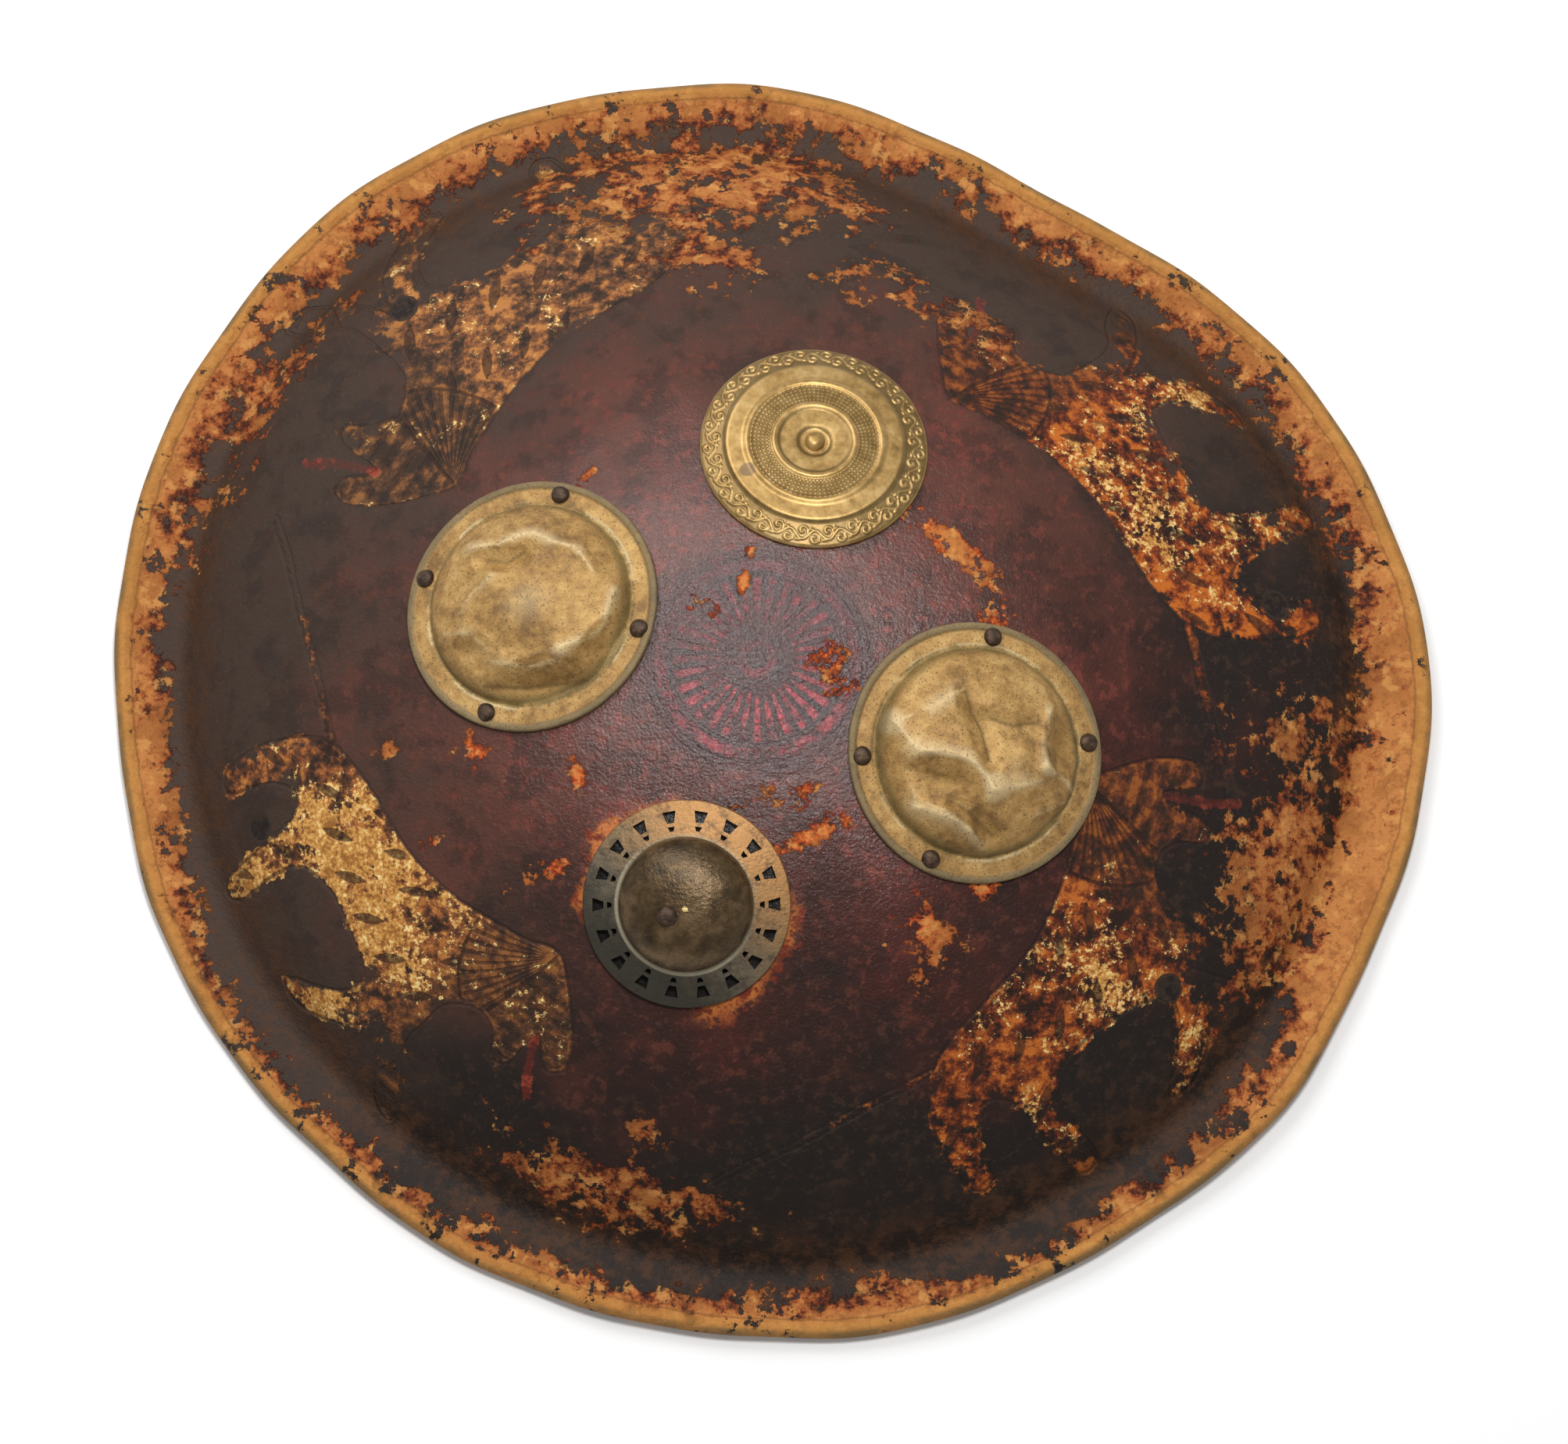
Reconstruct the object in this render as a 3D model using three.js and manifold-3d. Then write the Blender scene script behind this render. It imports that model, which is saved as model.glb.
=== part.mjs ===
// A dhal: a round, convex shield of lacquered hide that lies dome up on its rim, with four metal
// bosses on its crown and the rivets that hold them. Millimetres, +Z up.
import * as THREE from 'three';
import { mergeVertices } from 'three/addons/utils/BufferGeometryUtils.js';
import Module from 'manifold-3d';

const wasm = await Module();
wasm.setup();

// The hide, before it warped: a dome that falls to a valley, then a flange out to a rolled lip.
const HIDE_THICKNESS = 5;
const RIM_RADIUS = 222.6;
const CROWN_RADIUS = 300; // of the sphere that the middle of the dome follows
const CROWN_REACH = 130; // from the axis to where the crown turns into the steeper shoulder
const SHOULDER_SLOPE = 47; // degrees, where the shoulder meets the valley
const VALLEY_RADIUS = 8;
const FLANGE_WIDTH = 20;
const FLANGE_SLOPE = 7; // degrees, rising outwards
const LIP_RADIUS = 3.2;
const LAND_WEAR = 0.4; // rubbed off the underside of the valley, where the shield rests

// How the hide warped as it dried: each stretch of rim is pushed out or in, and lifted, most at
// one bearing (degrees, counter-clockwise from +X) and less up to a spread to either side.
const WARPS = [
  { bearing: 3, spread: 52, push: 12.3, lift: 0 },
  { bearing: 61, spread: 31, push: -8.7, lift: 3 },
  { bearing: 128, spread: 69, push: 14.8, lift: 0 },
  { bearing: 239, spread: 63, push: -6.2, lift: 0 },
  { bearing: 320, spread: 22, push: 4.7, lift: 1 },
];

// Old peg holes in the shoulder, filled almost flush. Their places are those before the warp.
const PEG_RADIUS = 4.2;
const PEG_DEPTH = 0.8;
const PEGS = [
  { out: 175.7, bearing: 131.7 },
  { out: 178.2, bearing: 194.9 },
  { out: 169.9, bearing: 323.6 },
  { out: 173.6, bearing: 10.2 },
];

// Iron rivets. Their shanks go through boss and hide, and are clenched on the inside.
const RIVET = { head: 3.15, rise: 2.1, shank: 1.4, tail: 2.7, tailThickness: 1.1 };
const SHANK_CLEARANCE = 0.35;
const SEAT_GAP = 0.3; // between faces that touch

// The two brass bosses: sheet domes, dented in use, on flat flanges with a turned edge.
const SHEET = 1.3;
const BRASS_RADIUS = 44.3;
const BRASS_DOME_RADIUS = 35;
const BRASS_DOME_RISE = 13;
const BRASS_EDGE = 2; // width of the bevel that the turned edge makes
const LEFT_PLACE = { x: -76.8, y: 21.1 };
const RIGHT_PLACE = { x: 73.9, y: -30 };
const LEFT_RIVETS = [76, 162, 248, 344]; // degrees round the flange
const RIGHT_RIVETS = [7, 82, 184, 247];

// Dents, each an oval where the sheet has popped in, or out where the depth is negative: its
// middle and half axes in the boss's own plane, the turn of its long axis, and its depth.
const LEFT_DENTS = [
  { x: -6, y: 12, long: 12, short: 7, turn: -8, depth: 2.6 },
  { x: 6, y: -29, long: 17, short: 8, turn: 8, depth: 6 },
  { x: 26, y: -16, long: 13, short: 6.5, turn: 52, depth: 4.2 },
  { x: -19, y: 2, long: 13, short: 7, turn: 48, depth: 2.2 },
  { x: -14, y: -19, long: 11, short: 6, turn: -38, depth: 2.4 },
  { x: 3, y: -4, long: 17, short: 13, turn: 20, depth: -1.3 },
];
const RIGHT_DENTS = [
  { x: -13, y: -9, long: 15, short: 10, turn: -18, depth: 4.6 },
  { x: -1, y: 8, long: 14, short: 5, turn: -72, depth: 3.2 },
  { x: 27, y: 4, long: 13, short: 8, turn: 84, depth: 6 },
  { x: 22, y: -13, long: 13, short: 5, turn: -20, depth: 3 },
  { x: 0, y: -27, long: 11, short: 5, turn: -50, depth: 3.4 },
  { x: 23, y: -23, long: 8, short: 5, turn: 40, depth: 2.6 },
  { x: -27, y: 9, long: 11, short: 6, turn: 62, depth: 2.8 },
  { x: 9, y: -6, long: 11, short: 8, turn: 30, depth: -1.2 },
];

// The top boss: a stamped brass disc, a later replacement. Its rings are radii and heights over
// the hide, from the middle out to the edge of the scrolled border.
const DISC_PLACE = { x: 19.3, y: 76.6 };
const DISC_RADIUS = 39;
const DISC_RINGS = [
  { radius: 5, height: 2.6 },
  { radius: 6.4, height: 3.6 },
  { radius: 12.6, height: 3.9 },
  { radius: 13.7, height: 4.9 },
  { radius: 14.8, height: 3.9 },
  { radius: 21.8, height: 3.9 },
  { radius: 22.9, height: 4.9 },
  { radius: 24.2, height: 4.1 },
  { radius: 29.6, height: 4.2 },
  { radius: 31, height: 3.2 },
];
const NAIL = { head: 3.4, rise: 2.6, shank: 1.4, tail: 2.7, tailThickness: 1.1 };

// The bottom boss: a cast bronze dome on a coned flange with two rows of pierced openings.
const CAST = 1.7;
const CAST_PLACE = { x: -23.6, y: -81.7 };
const CAST_RADIUS = 35;
const CAST_DOME_RADIUS = 22.4;
const CAST_DOME_RISE = 11;
const CAST_CONE_RISE = 2.2;
const PIERCED_COUNT = 18;
const PIERCED_ROWS = [
  { radius: 29.4, inner: 2.4, outer: 4.6, height: 3.9 },
  { radius: 25.4, inner: 1.2, outer: 2.4, height: 1.6 },
];
const CAST_RIVET = { out: 5.4, degrees: 207 };

// Facets.
const HIDE_SEGMENTS = 48;
const CROWN_STEPS = 6;
const SHOULDER_STEPS = 4;
const VALLEY_STEPS = 2;
const LIP_STEPS = 4;
const BOSS_SEGMENTS = 32;
const DOME_STEPS = 6;
const CAST_STEPS = 4;
const RIVET_SEGMENTS = 8;
const HEAD_STEPS = 2;
const PEG_SEGMENTS = 8;

// Derived sizes of the hide. Slopes are angles from level, and a point of an arc stands at the
// slope of the surface there.
const radians = THREE.MathUtils.degToRad;
const shoulderSlope = radians(SHOULDER_SLOPE);
const flangeSlope = radians(FLANGE_SLOPE);
const crownSlope = Math.asin(CROWN_REACH / CROWN_RADIUS);
const valleyReach = RIM_RADIUS - FLANGE_WIDTH - VALLEY_RADIUS * Math.sin(flangeSlope);
const shoulderReach = valleyReach - VALLEY_RADIUS * Math.sin(shoulderSlope);
const shoulderRadius = (shoulderReach - CROWN_REACH)
  / (Math.sin(shoulderSlope) - Math.sin(crownSlope));
const valleyHeight = HIDE_THICKNESS + VALLEY_RADIUS - LAND_WEAR;
const shoulderCentre = {
  r: CROWN_REACH - shoulderRadius * Math.sin(crownSlope),
  z: valleyHeight - (VALLEY_RADIUS + shoulderRadius) * Math.cos(shoulderSlope),
};
const crownCentre = shoulderCentre.z + (shoulderRadius - CROWN_RADIUS) * Math.cos(crownSlope);

const leather = new THREE.MeshStandardMaterial({ color: 0x3a2320, roughness: 0.5, metalness: 0 });
const brass = new THREE.MeshStandardMaterial({ color: 0xa98a4c, roughness: 0.45, metalness: 0.9 });
const stamped = new THREE.MeshStandardMaterial({ color: 0xb8984f, roughness: 0.38, metalness: 0.95 });
const bronze = new THREE.MeshStandardMaterial({ color: 0x5d4c38, roughness: 0.45, metalness: 0.85 });
const iron = new THREE.MeshStandardMaterial({ color: 0x40302a, roughness: 0.6, metalness: 0.7 });

// Points of an arc about (r, z), from one slope to another. A hollow arc curves the other way.
function arc(centre, radius, from, to, count, hollow = false) {
  const side = hollow ? -1 : 1;
  const points = [];
  for (let step = 0; step <= count; step += 1) {
    const slope = from + (to - from) * step / count;
    points.push(new THREE.Vector2(
      centre.r + side * radius * Math.sin(slope),
      centre.z + side * radius * Math.cos(slope),
    ));
  }
  return points;
}

// One skin of the hide from the axis to the flange, a depth below the outer surface.
function hideSkin(depth) {
  const crown = arc({ r: 0, z: crownCentre }, CROWN_RADIUS - depth, 0, crownSlope, CROWN_STEPS);
  const shoulder = arc(shoulderCentre, shoulderRadius - depth, crownSlope, shoulderSlope,
    SHOULDER_STEPS);
  const valley = arc({ r: valleyReach, z: valleyHeight }, VALLEY_RADIUS + depth, shoulderSlope,
    -flangeSlope, VALLEY_STEPS, true);
  return [...crown, ...shoulder.slice(1), ...valley.slice(1)];
}

// The underside's outline with all that falls below the floor rubbed off flat.
function rubbedFlat(points) {
  const worn = [points[0]];
  for (let index = 1; index < points.length; index += 1) {
    const before = points[index - 1];
    const point = points[index];
    if (before.y * point.y < 0) {
      worn.push(before.clone().lerp(point, before.y / (before.y - point.y)).setY(0));
    }
    if (point.y >= 0) {
      worn.push(point);
    }
  }
  return worn;
}

// The closed section of the hide, from the top of the axis round the lip to the axis below.
function hideSection() {
  const outer = hideSkin(0);
  const inner = hideSkin(HIDE_THICKNESS);
  const lipOut = RIM_RADIUS - LIP_RADIUS;
  const flangeTop = outer.at(-1);
  const middle = flangeTop.y + (lipOut - flangeTop.x) * Math.tan(flangeSlope)
    - HIDE_THICKNESS / 2 / Math.cos(flangeSlope);
  const lip = arc({ r: lipOut, z: middle }, LIP_RADIUS, -flangeSlope, Math.PI, LIP_STEPS);
  const underside = rubbedFlat([...inner, lip.pop()]);
  return [...outer, ...lip, ...underside.reverse()];
}

// A closed body turned about +Z from a section that starts and ends on the axis.
function turned(outline, segments) {
  const geometry = new THREE.LatheGeometry([...outline].reverse(), segments);
  geometry.deleteAttribute('normal');
  geometry.deleteAttribute('uv');
  geometry.rotateX(Math.PI / 2);
  return mergeVertices(geometry);
}

// Moves every vertex of a geometry to the place that a function gives for it.
function reshaped(geometry, place) {
  const position = geometry.getAttribute('position');
  const vertex = new THREE.Vector3();
  for (let index = 0; index < position.count; index += 1) {
    place(vertex.fromBufferAttribute(position, index));
    position.setXYZ(index, vertex.x, vertex.y, vertex.z);
  }
  return geometry;
}

// One at a warp's own bearing, falling smoothly to nothing at its spread.
function swell(warp, bearing) {
  const away = THREE.MathUtils.euclideanModulo(bearing - warp.bearing + 180, 360) - 180;
  const share = Math.min(Math.abs(away) / warp.spread, 1);
  return (1 + Math.cos(Math.PI * share)) / 2;
}

// Warps the hide outside the crown: the shoulder gives way little by little, the rim in full.
function warped(vertex) {
  const radius = Math.hypot(vertex.x, vertex.y);
  const bearing = THREE.MathUtils.radToDeg(Math.atan2(vertex.y, vertex.x));
  const give = THREE.MathUtils.smoothstep(radius, CROWN_REACH, shoulderReach);
  let push = 0;
  let lift = 0;
  for (const warp of WARPS) {
    push += warp.push * swell(warp, bearing) * give;
    lift += warp.lift * swell(warp, bearing) * give;
  }
  if (give > 0) {
    vertex.x *= 1 + push / radius;
    vertex.y *= 1 + push / radius;
    vertex.z += lift;
  }
}

// Lays a body that was made over a plane onto the crown: z becomes height over the hide.
function laidOnCrown(vertex) {
  const radius = Math.hypot(vertex.x, vertex.y);
  const angle = radius / CROWN_RADIUS;
  const height = CROWN_RADIUS + vertex.z;
  const spread = radius > 0 ? height * Math.sin(angle) / radius : 1;
  vertex.set(vertex.x * spread, vertex.y * spread, height * Math.cos(angle));
}

// A merged geometry as a solid, without the flat faces that a turned body has at its poles.
function solidOf(geometry) {
  const corners = [...geometry.index.array];
  const faces = [];
  for (let start = 0; start < corners.length; start += 3) {
    const face = corners.slice(start, start + 3);
    if (new Set(face).size === face.length) {
      faces.push(...face);
    }
  }
  return new wasm.Manifold(new wasm.Mesh({
    numProp: 3,
    vertProperties: new Float32Array(geometry.getAttribute('position').array),
    triVerts: new Uint32Array(faces),
  }));
}

function geometryOf(solid) {
  const mesh = solid.getMesh();
  const geometry = new THREE.BufferGeometry();
  geometry.setAttribute('position', new THREE.BufferAttribute(mesh.vertProperties, 3));
  geometry.setIndex(new THREE.BufferAttribute(mesh.triVerts, 1));
  return geometry;
}

// A geometry with the bodies of others cut out of it.
function cut(geometry, cutters) {
  return geometryOf(cutters.reduce((left, cutter) => left.subtract(solidOf(cutter)),
    solidOf(geometry)));
}

// The points of a section from pairs of radius and height.
function section(pairs) {
  return pairs.map(([radius, height]) => new THREE.Vector2(radius, height));
}

// A rivet or nail from its head's seat through the hide, in heights over the hide's surface.
function rivet(size, seat) {
  const tail = -HIDE_THICKNESS - SEAT_GAP;
  const points = [[0, seat + size.rise]];
  for (let step = 1; step <= HEAD_STEPS; step += 1) {
    const angle = Math.PI / 2 * step / HEAD_STEPS;
    points.push([size.head * Math.sin(angle), seat + size.rise * Math.cos(angle)]);
  }
  points.push([size.shank, seat], [size.shank, tail], [size.tail, tail]);
  points.push([size.tail, tail - size.tailThickness], [0, tail - size.tailThickness]);
  return turned(section(points), RIVET_SEGMENTS);
}

// The hole that a shank passes through, from below the hide to above a boss.
function shankHole(size, top) {
  const radius = size.shank + SHANK_CLEARANCE;
  const floor = -2 * HIDE_THICKNESS;
  return turned(section([[0, top], [radius, top], [radius, floor], [0, floor]]), RIVET_SEGMENTS);
}

// A frame on the crown's sphere whose +Z leaves the sphere at a place given in the shield's plane.
function crownFrame(place) {
  const frame = new THREE.Group();
  const up = Math.sqrt(CROWN_RADIUS ** 2 - place.x ** 2 - place.y ** 2);
  const normal = new THREE.Vector3(place.x, place.y, up).normalize();
  frame.quaternion.setFromUnitVectors(new THREE.Vector3(0, 0, 1), normal);
  return frame;
}

// A place some way out along a boss, at an angle round it.
function roundBoss(out, degrees) {
  const reach = CROWN_RADIUS * Math.sin(out / CROWN_RADIUS);
  return { x: reach * Math.cos(radians(degrees)), y: reach * Math.sin(radians(degrees)) };
}

// A piece that is made over the crown's surface, in the frame that carries it.
function onCrown(frame, name, geometry, material) {
  const mesh = new THREE.Mesh(geometry, material);
  mesh.name = name;
  frame.add(mesh);
  return mesh;
}

// A rivet on a boss, in a frame of its own: it keeps what is needed to cut its hole.
function addRivet(frame, name, place, size, seat, material) {
  const own = crownFrame(place);
  frame.add(own);
  const geometry = rivet(size, seat).translate(0, 0, CROWN_RADIUS);
  const mesh = onCrown(own, name, geometry, material);
  mesh.userData.hole = shankHole(size, seat).translate(0, 0, CROWN_RADIUS);
  own.updateMatrix();
  return mesh;
}

// Height of a rounded dome over its base: full at the middle, steep at its foot.
function domeHeight(radius, reach, rise) {
  const fullness = 2.4;
  const crest = 0.6;
  return rise * Math.max(0, 1 - (radius / reach) ** fullness) ** crest;
}

// How far the sheet has popped in at a place.
function dentDepth(dents, x, y) {
  let depth = 0;
  for (const dent of dents) {
    const turn = radians(dent.turn);
    const along = (x - dent.x) * Math.cos(turn) + (y - dent.y) * Math.sin(turn);
    const across = (y - dent.y) * Math.cos(turn) - (x - dent.x) * Math.sin(turn);
    depth += dent.depth * Math.max(0, 1 - (along / dent.long) ** 2 - (across / dent.short) ** 2);
  }
  return depth;
}

// Even steps from one radius to another, as a list of radii that leaves out the start.
function steps(from, to, count) {
  return Array.from({ length: count }, (_, step) => from + (to - from) * (step + 1) / count);
}

// A sheet of rings of places about a middle one, each with a point on the upper skin and one on
// the lower. Both skins are split into the same triangles, so that they never cross.
function sheetBody(radii, skinHeights) {
  const places = [[0, 0]];
  for (const radius of radii) {
    for (let step = 0; step < BOSS_SEGMENTS; step += 1) {
      const angle = 2 * Math.PI * step / BOSS_SEGMENTS;
      places.push([radius * Math.cos(angle), radius * Math.sin(angle)]);
    }
  }
  const upper = places.flatMap(([x, y]) => [x, y, skinHeights(x, y).upper]);
  const lower = places.flatMap(([x, y]) => [x, y, skinHeights(x, y).lower]);
  const skin = [];
  for (let step = 0; step < BOSS_SEGMENTS; step += 1) {
    const next = (step + 1) % BOSS_SEGMENTS;
    skin.push([0, 1 + step, 1 + next]);
    for (let ring = 1; ring < radii.length; ring += 1) {
      const outer = 1 + ring * BOSS_SEGMENTS;
      const inner = outer - BOSS_SEGMENTS;
      skin.push([inner + step, outer + step, outer + next]);
      skin.push([inner + step, outer + next, inner + next]);
    }
  }
  const below = places.length;
  const faces = skin.flatMap(([a, b, c]) => [a, b, c, below + c, below + b, below + a]);
  for (let step = 0; step < BOSS_SEGMENTS; step += 1) {
    const here = below - BOSS_SEGMENTS + step;
    const next = below - BOSS_SEGMENTS + (step + 1) % BOSS_SEGMENTS;
    faces.push(below + here, below + next, next, below + here, next, here);
  }
  const geometry = new THREE.BufferGeometry();
  geometry.setAttribute('position', new THREE.Float32BufferAttribute([...upper, ...lower], 3));
  geometry.setIndex(faces);
  return geometry;
}

// A dented brass boss: a sheet dome on a flange whose edge is bevelled to half the thickness.
function brassBoss(dents) {
  const bevelStart = BRASS_RADIUS - BRASS_EDGE;
  const radii = [...steps(0, BRASS_DOME_RADIUS, DOME_STEPS), bevelStart, BRASS_RADIUS];
  const sheet = sheetBody(radii, (x, y) => {
    const radius = Math.hypot(x, y);
    const full = domeHeight(radius, BRASS_DOME_RADIUS, BRASS_DOME_RISE);
    const dented = full > 0 ? Math.max(0, full - dentDepth(dents, x, y)) : 0;
    const bevel = Math.max(0, radius - bevelStart) / BRASS_EDGE;
    const lower = SEAT_GAP + dented;
    return { lower, upper: lower + SHEET * (1 - bevel / 2) };
  });
  return reshaped(sheet, laidOnCrown);
}

// The cutters of one row of openings, wider on their outer side, for a flange that lies flat.
function piercedRow(row) {
  const outline = new THREE.Shape([
    new THREE.Vector2(-row.height / 2, -row.inner / 2),
    new THREE.Vector2(row.height / 2, -row.outer / 2),
    new THREE.Vector2(row.height / 2, row.outer / 2),
    new THREE.Vector2(-row.height / 2, row.inner / 2),
  ]);
  const depth = 2 * (SEAT_GAP + CAST + CAST_CONE_RISE);
  const opening = new THREE.ExtrudeGeometry(outline, { depth, bevelEnabled: false });
  opening.deleteAttribute('normal');
  opening.deleteAttribute('uv');
  opening.translate(row.radius, 0, -SEAT_GAP);
  return Array.from({ length: PIERCED_COUNT }, (_, index) => mergeVertices(
    opening.clone().rotateZ(2 * Math.PI * index / PIERCED_COUNT),
  ));
}

// Height of the cast dome's inner skin over the hide.
function castDomeHeight(radius) {
  return SEAT_GAP + CAST_CONE_RISE + domeHeight(radius, CAST_DOME_RADIUS, CAST_DOME_RISE);
}

// The cast boss: a dome on a cone that falls to the hide, pierced while it is still flat.
function castBoss() {
  const lining = CAST_DOME_RADIUS - CAST;
  const top = steps(0, CAST_DOME_RADIUS, CAST_STEPS);
  const under = steps(lining, 0, CAST_STEPS);
  const body = turned(section([
    [0, castDomeHeight(0) + CAST],
    ...top.map((radius) => [radius, castDomeHeight(radius) + CAST]),
    [CAST_RADIUS, SEAT_GAP + CAST / 2], [CAST_RADIUS, SEAT_GAP], [CAST_RADIUS - CAST, SEAT_GAP],
    [lining, castDomeHeight(CAST_DOME_RADIUS)],
    ...under.map((radius) => [radius, castDomeHeight(radius / lining * CAST_DOME_RADIUS)]),
  ]), BOSS_SEGMENTS);
  return reshaped(cut(body, PIERCED_ROWS.flatMap(piercedRow)), laidOnCrown);
}

const shield = new THREE.Group();
const onDome = new THREE.Group();
onDome.position.z = crownCentre;
shield.add(onDome);
const rivets = [];

// A boss on the crown, drilled for its rivets.
function addBoss(frame, name, body, own, material) {
  const holes = own.map((mesh) => mesh.userData.hole.clone().applyMatrix4(mesh.parent.matrix));
  onCrown(frame, name, cut(body, holes), material);
  rivets.push(...own);
}

// The two brass bosses, each with four rivets through its flange.
const flangeMiddle = (BRASS_DOME_RADIUS + BRASS_RADIUS) / 2;
const brassBosses = [
  { name: 'boss_left', place: LEFT_PLACE, dents: LEFT_DENTS, rivets: LEFT_RIVETS },
  { name: 'boss_right', place: RIGHT_PLACE, dents: RIGHT_DENTS, rivets: RIGHT_RIVETS },
];
for (const boss of brassBosses) {
  const frame = crownFrame(boss.place);
  onDome.add(frame);
  const own = boss.rivets.map((degrees, index) => addRivet(
    frame, `${boss.name}_rivet_${index + 1}`, roundBoss(flangeMiddle, degrees), RIVET,
    2 * SEAT_GAP + SHEET, iron,
  ));
  addBoss(frame, boss.name, brassBoss(boss.dents), own, brass);
}

// The stamped disc, held by a brass nail through its middle.
const disc = crownFrame(DISC_PLACE);
onDome.add(disc);
const discMiddle = DISC_RINGS[0].height;
const nail = addRivet(disc, 'disc_nail', { x: 0, y: 0 }, NAIL, discMiddle + SEAT_GAP, stamped);
const discSection = section([
  [0, discMiddle],
  ...DISC_RINGS.map((ring) => [ring.radius, ring.height]),
  [DISC_RADIUS, SEAT_GAP + SHEET], [DISC_RADIUS, SEAT_GAP],
  [DISC_RINGS.at(-1).radius, DISC_RINGS.at(-1).height - SHEET],
  [DISC_RINGS[0].radius, discMiddle - SHEET], [0, discMiddle - SHEET],
]);
const discBody = reshaped(turned(discSection, BOSS_SEGMENTS), laidOnCrown);
addBoss(disc, 'boss_top_disc', discBody, [nail], stamped);

// The cast boss, held by one rivet through its dome, a little off the middle.
const cast = crownFrame(CAST_PLACE);
onDome.add(cast);
const castRivetSeat = castDomeHeight(CAST_RIVET.out - RIVET.head) + CAST + SEAT_GAP;
const castRivet = addRivet(cast, 'boss_bottom_rivet',
  roundBoss(CAST_RIVET.out, CAST_RIVET.degrees), RIVET, castRivetSeat, iron);
addBoss(cast, 'boss_bottom_pierced', castBoss(), [castRivet], bronze);

// The shallow recess over one peg, square to the shoulder where it stands.
function pegRecess(peg) {
  const slope = Math.asin((peg.out - shoulderCentre.r) / shoulderRadius);
  const bearing = radians(peg.bearing);
  const normal = new THREE.Vector3(Math.sin(slope) * Math.cos(bearing),
    Math.sin(slope) * Math.sin(bearing), Math.cos(slope));
  const place = new THREE.Vector3(peg.out * Math.cos(bearing), peg.out * Math.sin(bearing),
    shoulderCentre.z + shoulderRadius * Math.cos(slope));
  warped(place);
  const recess = turned(section([
    [0, PEG_DEPTH], [PEG_RADIUS, PEG_DEPTH], [PEG_RADIUS, -PEG_DEPTH], [0, -PEG_DEPTH],
  ]), PEG_SEGMENTS);
  const turn = new THREE.Quaternion().setFromUnitVectors(new THREE.Vector3(0, 0, 1), normal);
  return recess.applyQuaternion(turn).translate(place.x, place.y, place.z);
}

// The hide, drilled for every rivet and recessed over its pegs.
shield.updateMatrixWorld();
const hideHoles = rivets.map((mesh) => mesh.userData.hole.clone().applyMatrix4(mesh.matrixWorld));
const hideBody = reshaped(turned(hideSection(), HIDE_SEGMENTS), warped);
const hide = new THREE.Mesh(cut(hideBody, [...hideHoles, ...PEGS.map(pegRecess)]), leather);
hide.name = 'hide_body';
shield.add(hide);

// The origin is on the floor, under the middle of the shield's box.
const middle = new THREE.Box3().setFromObject(hide).getCenter(new THREE.Vector3());
shield.position.set(-middle.x, -middle.y, 0);

export default shield;
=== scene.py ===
"""A dhal: a round, convex shield of lacquered and painted hide with four metal bosses."""
import math

import bpy
import numpy as np
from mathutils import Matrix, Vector


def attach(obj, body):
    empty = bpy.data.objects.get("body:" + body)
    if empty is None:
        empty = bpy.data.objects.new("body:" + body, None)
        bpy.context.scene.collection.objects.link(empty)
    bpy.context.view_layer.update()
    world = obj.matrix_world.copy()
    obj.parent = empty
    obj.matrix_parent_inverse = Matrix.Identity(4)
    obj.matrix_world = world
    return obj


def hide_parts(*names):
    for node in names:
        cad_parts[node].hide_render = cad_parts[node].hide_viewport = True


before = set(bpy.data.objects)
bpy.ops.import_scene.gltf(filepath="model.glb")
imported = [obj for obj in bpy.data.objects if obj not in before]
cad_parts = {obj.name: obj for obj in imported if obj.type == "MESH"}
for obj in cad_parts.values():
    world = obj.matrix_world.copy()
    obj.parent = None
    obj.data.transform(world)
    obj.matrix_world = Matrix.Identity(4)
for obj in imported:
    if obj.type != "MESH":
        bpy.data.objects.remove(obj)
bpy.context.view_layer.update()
bpy.ops.object.select_all(action="DESELECT")

# The hide: one thick skin, moulded wet over a form, dried hard, and turned up at the rim into a
# rolled lip. It has warped since. It is lacquered in layers, painted with four tigers and a
# rosette in gold and red, and worn through to the bare hide at the rim and in patches.
MM = 0.001
dome_axis = (-4.997, -4.969)  # millimetres from the middle of the shield's box
hide_thickness = 5
rim_radius = 222.6
crown_radius = 300
crown_reach = 130
shoulder_slope = math.radians(47)
valley_radius = 8
flange_width = 20
flange_slope = math.radians(7)
lip_radius = 3.2
land_wear = 0.4

crown_slope = math.asin(crown_reach / crown_radius)
valley_end = rim_radius - flange_width
valley_reach = valley_end - valley_radius * math.sin(flange_slope)
shoulder_reach = valley_reach - valley_radius * math.sin(shoulder_slope)
shoulder_radius = (shoulder_reach - crown_reach) / (math.sin(shoulder_slope) - math.sin(crown_slope))
valley_height = hide_thickness + valley_radius - land_wear
shoulder_out = crown_reach - shoulder_radius * math.sin(crown_slope)
shoulder_up = valley_height - (valley_radius + shoulder_radius) * math.cos(shoulder_slope)
crown_up = shoulder_up + (shoulder_radius - crown_radius) * math.cos(crown_slope)


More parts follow.
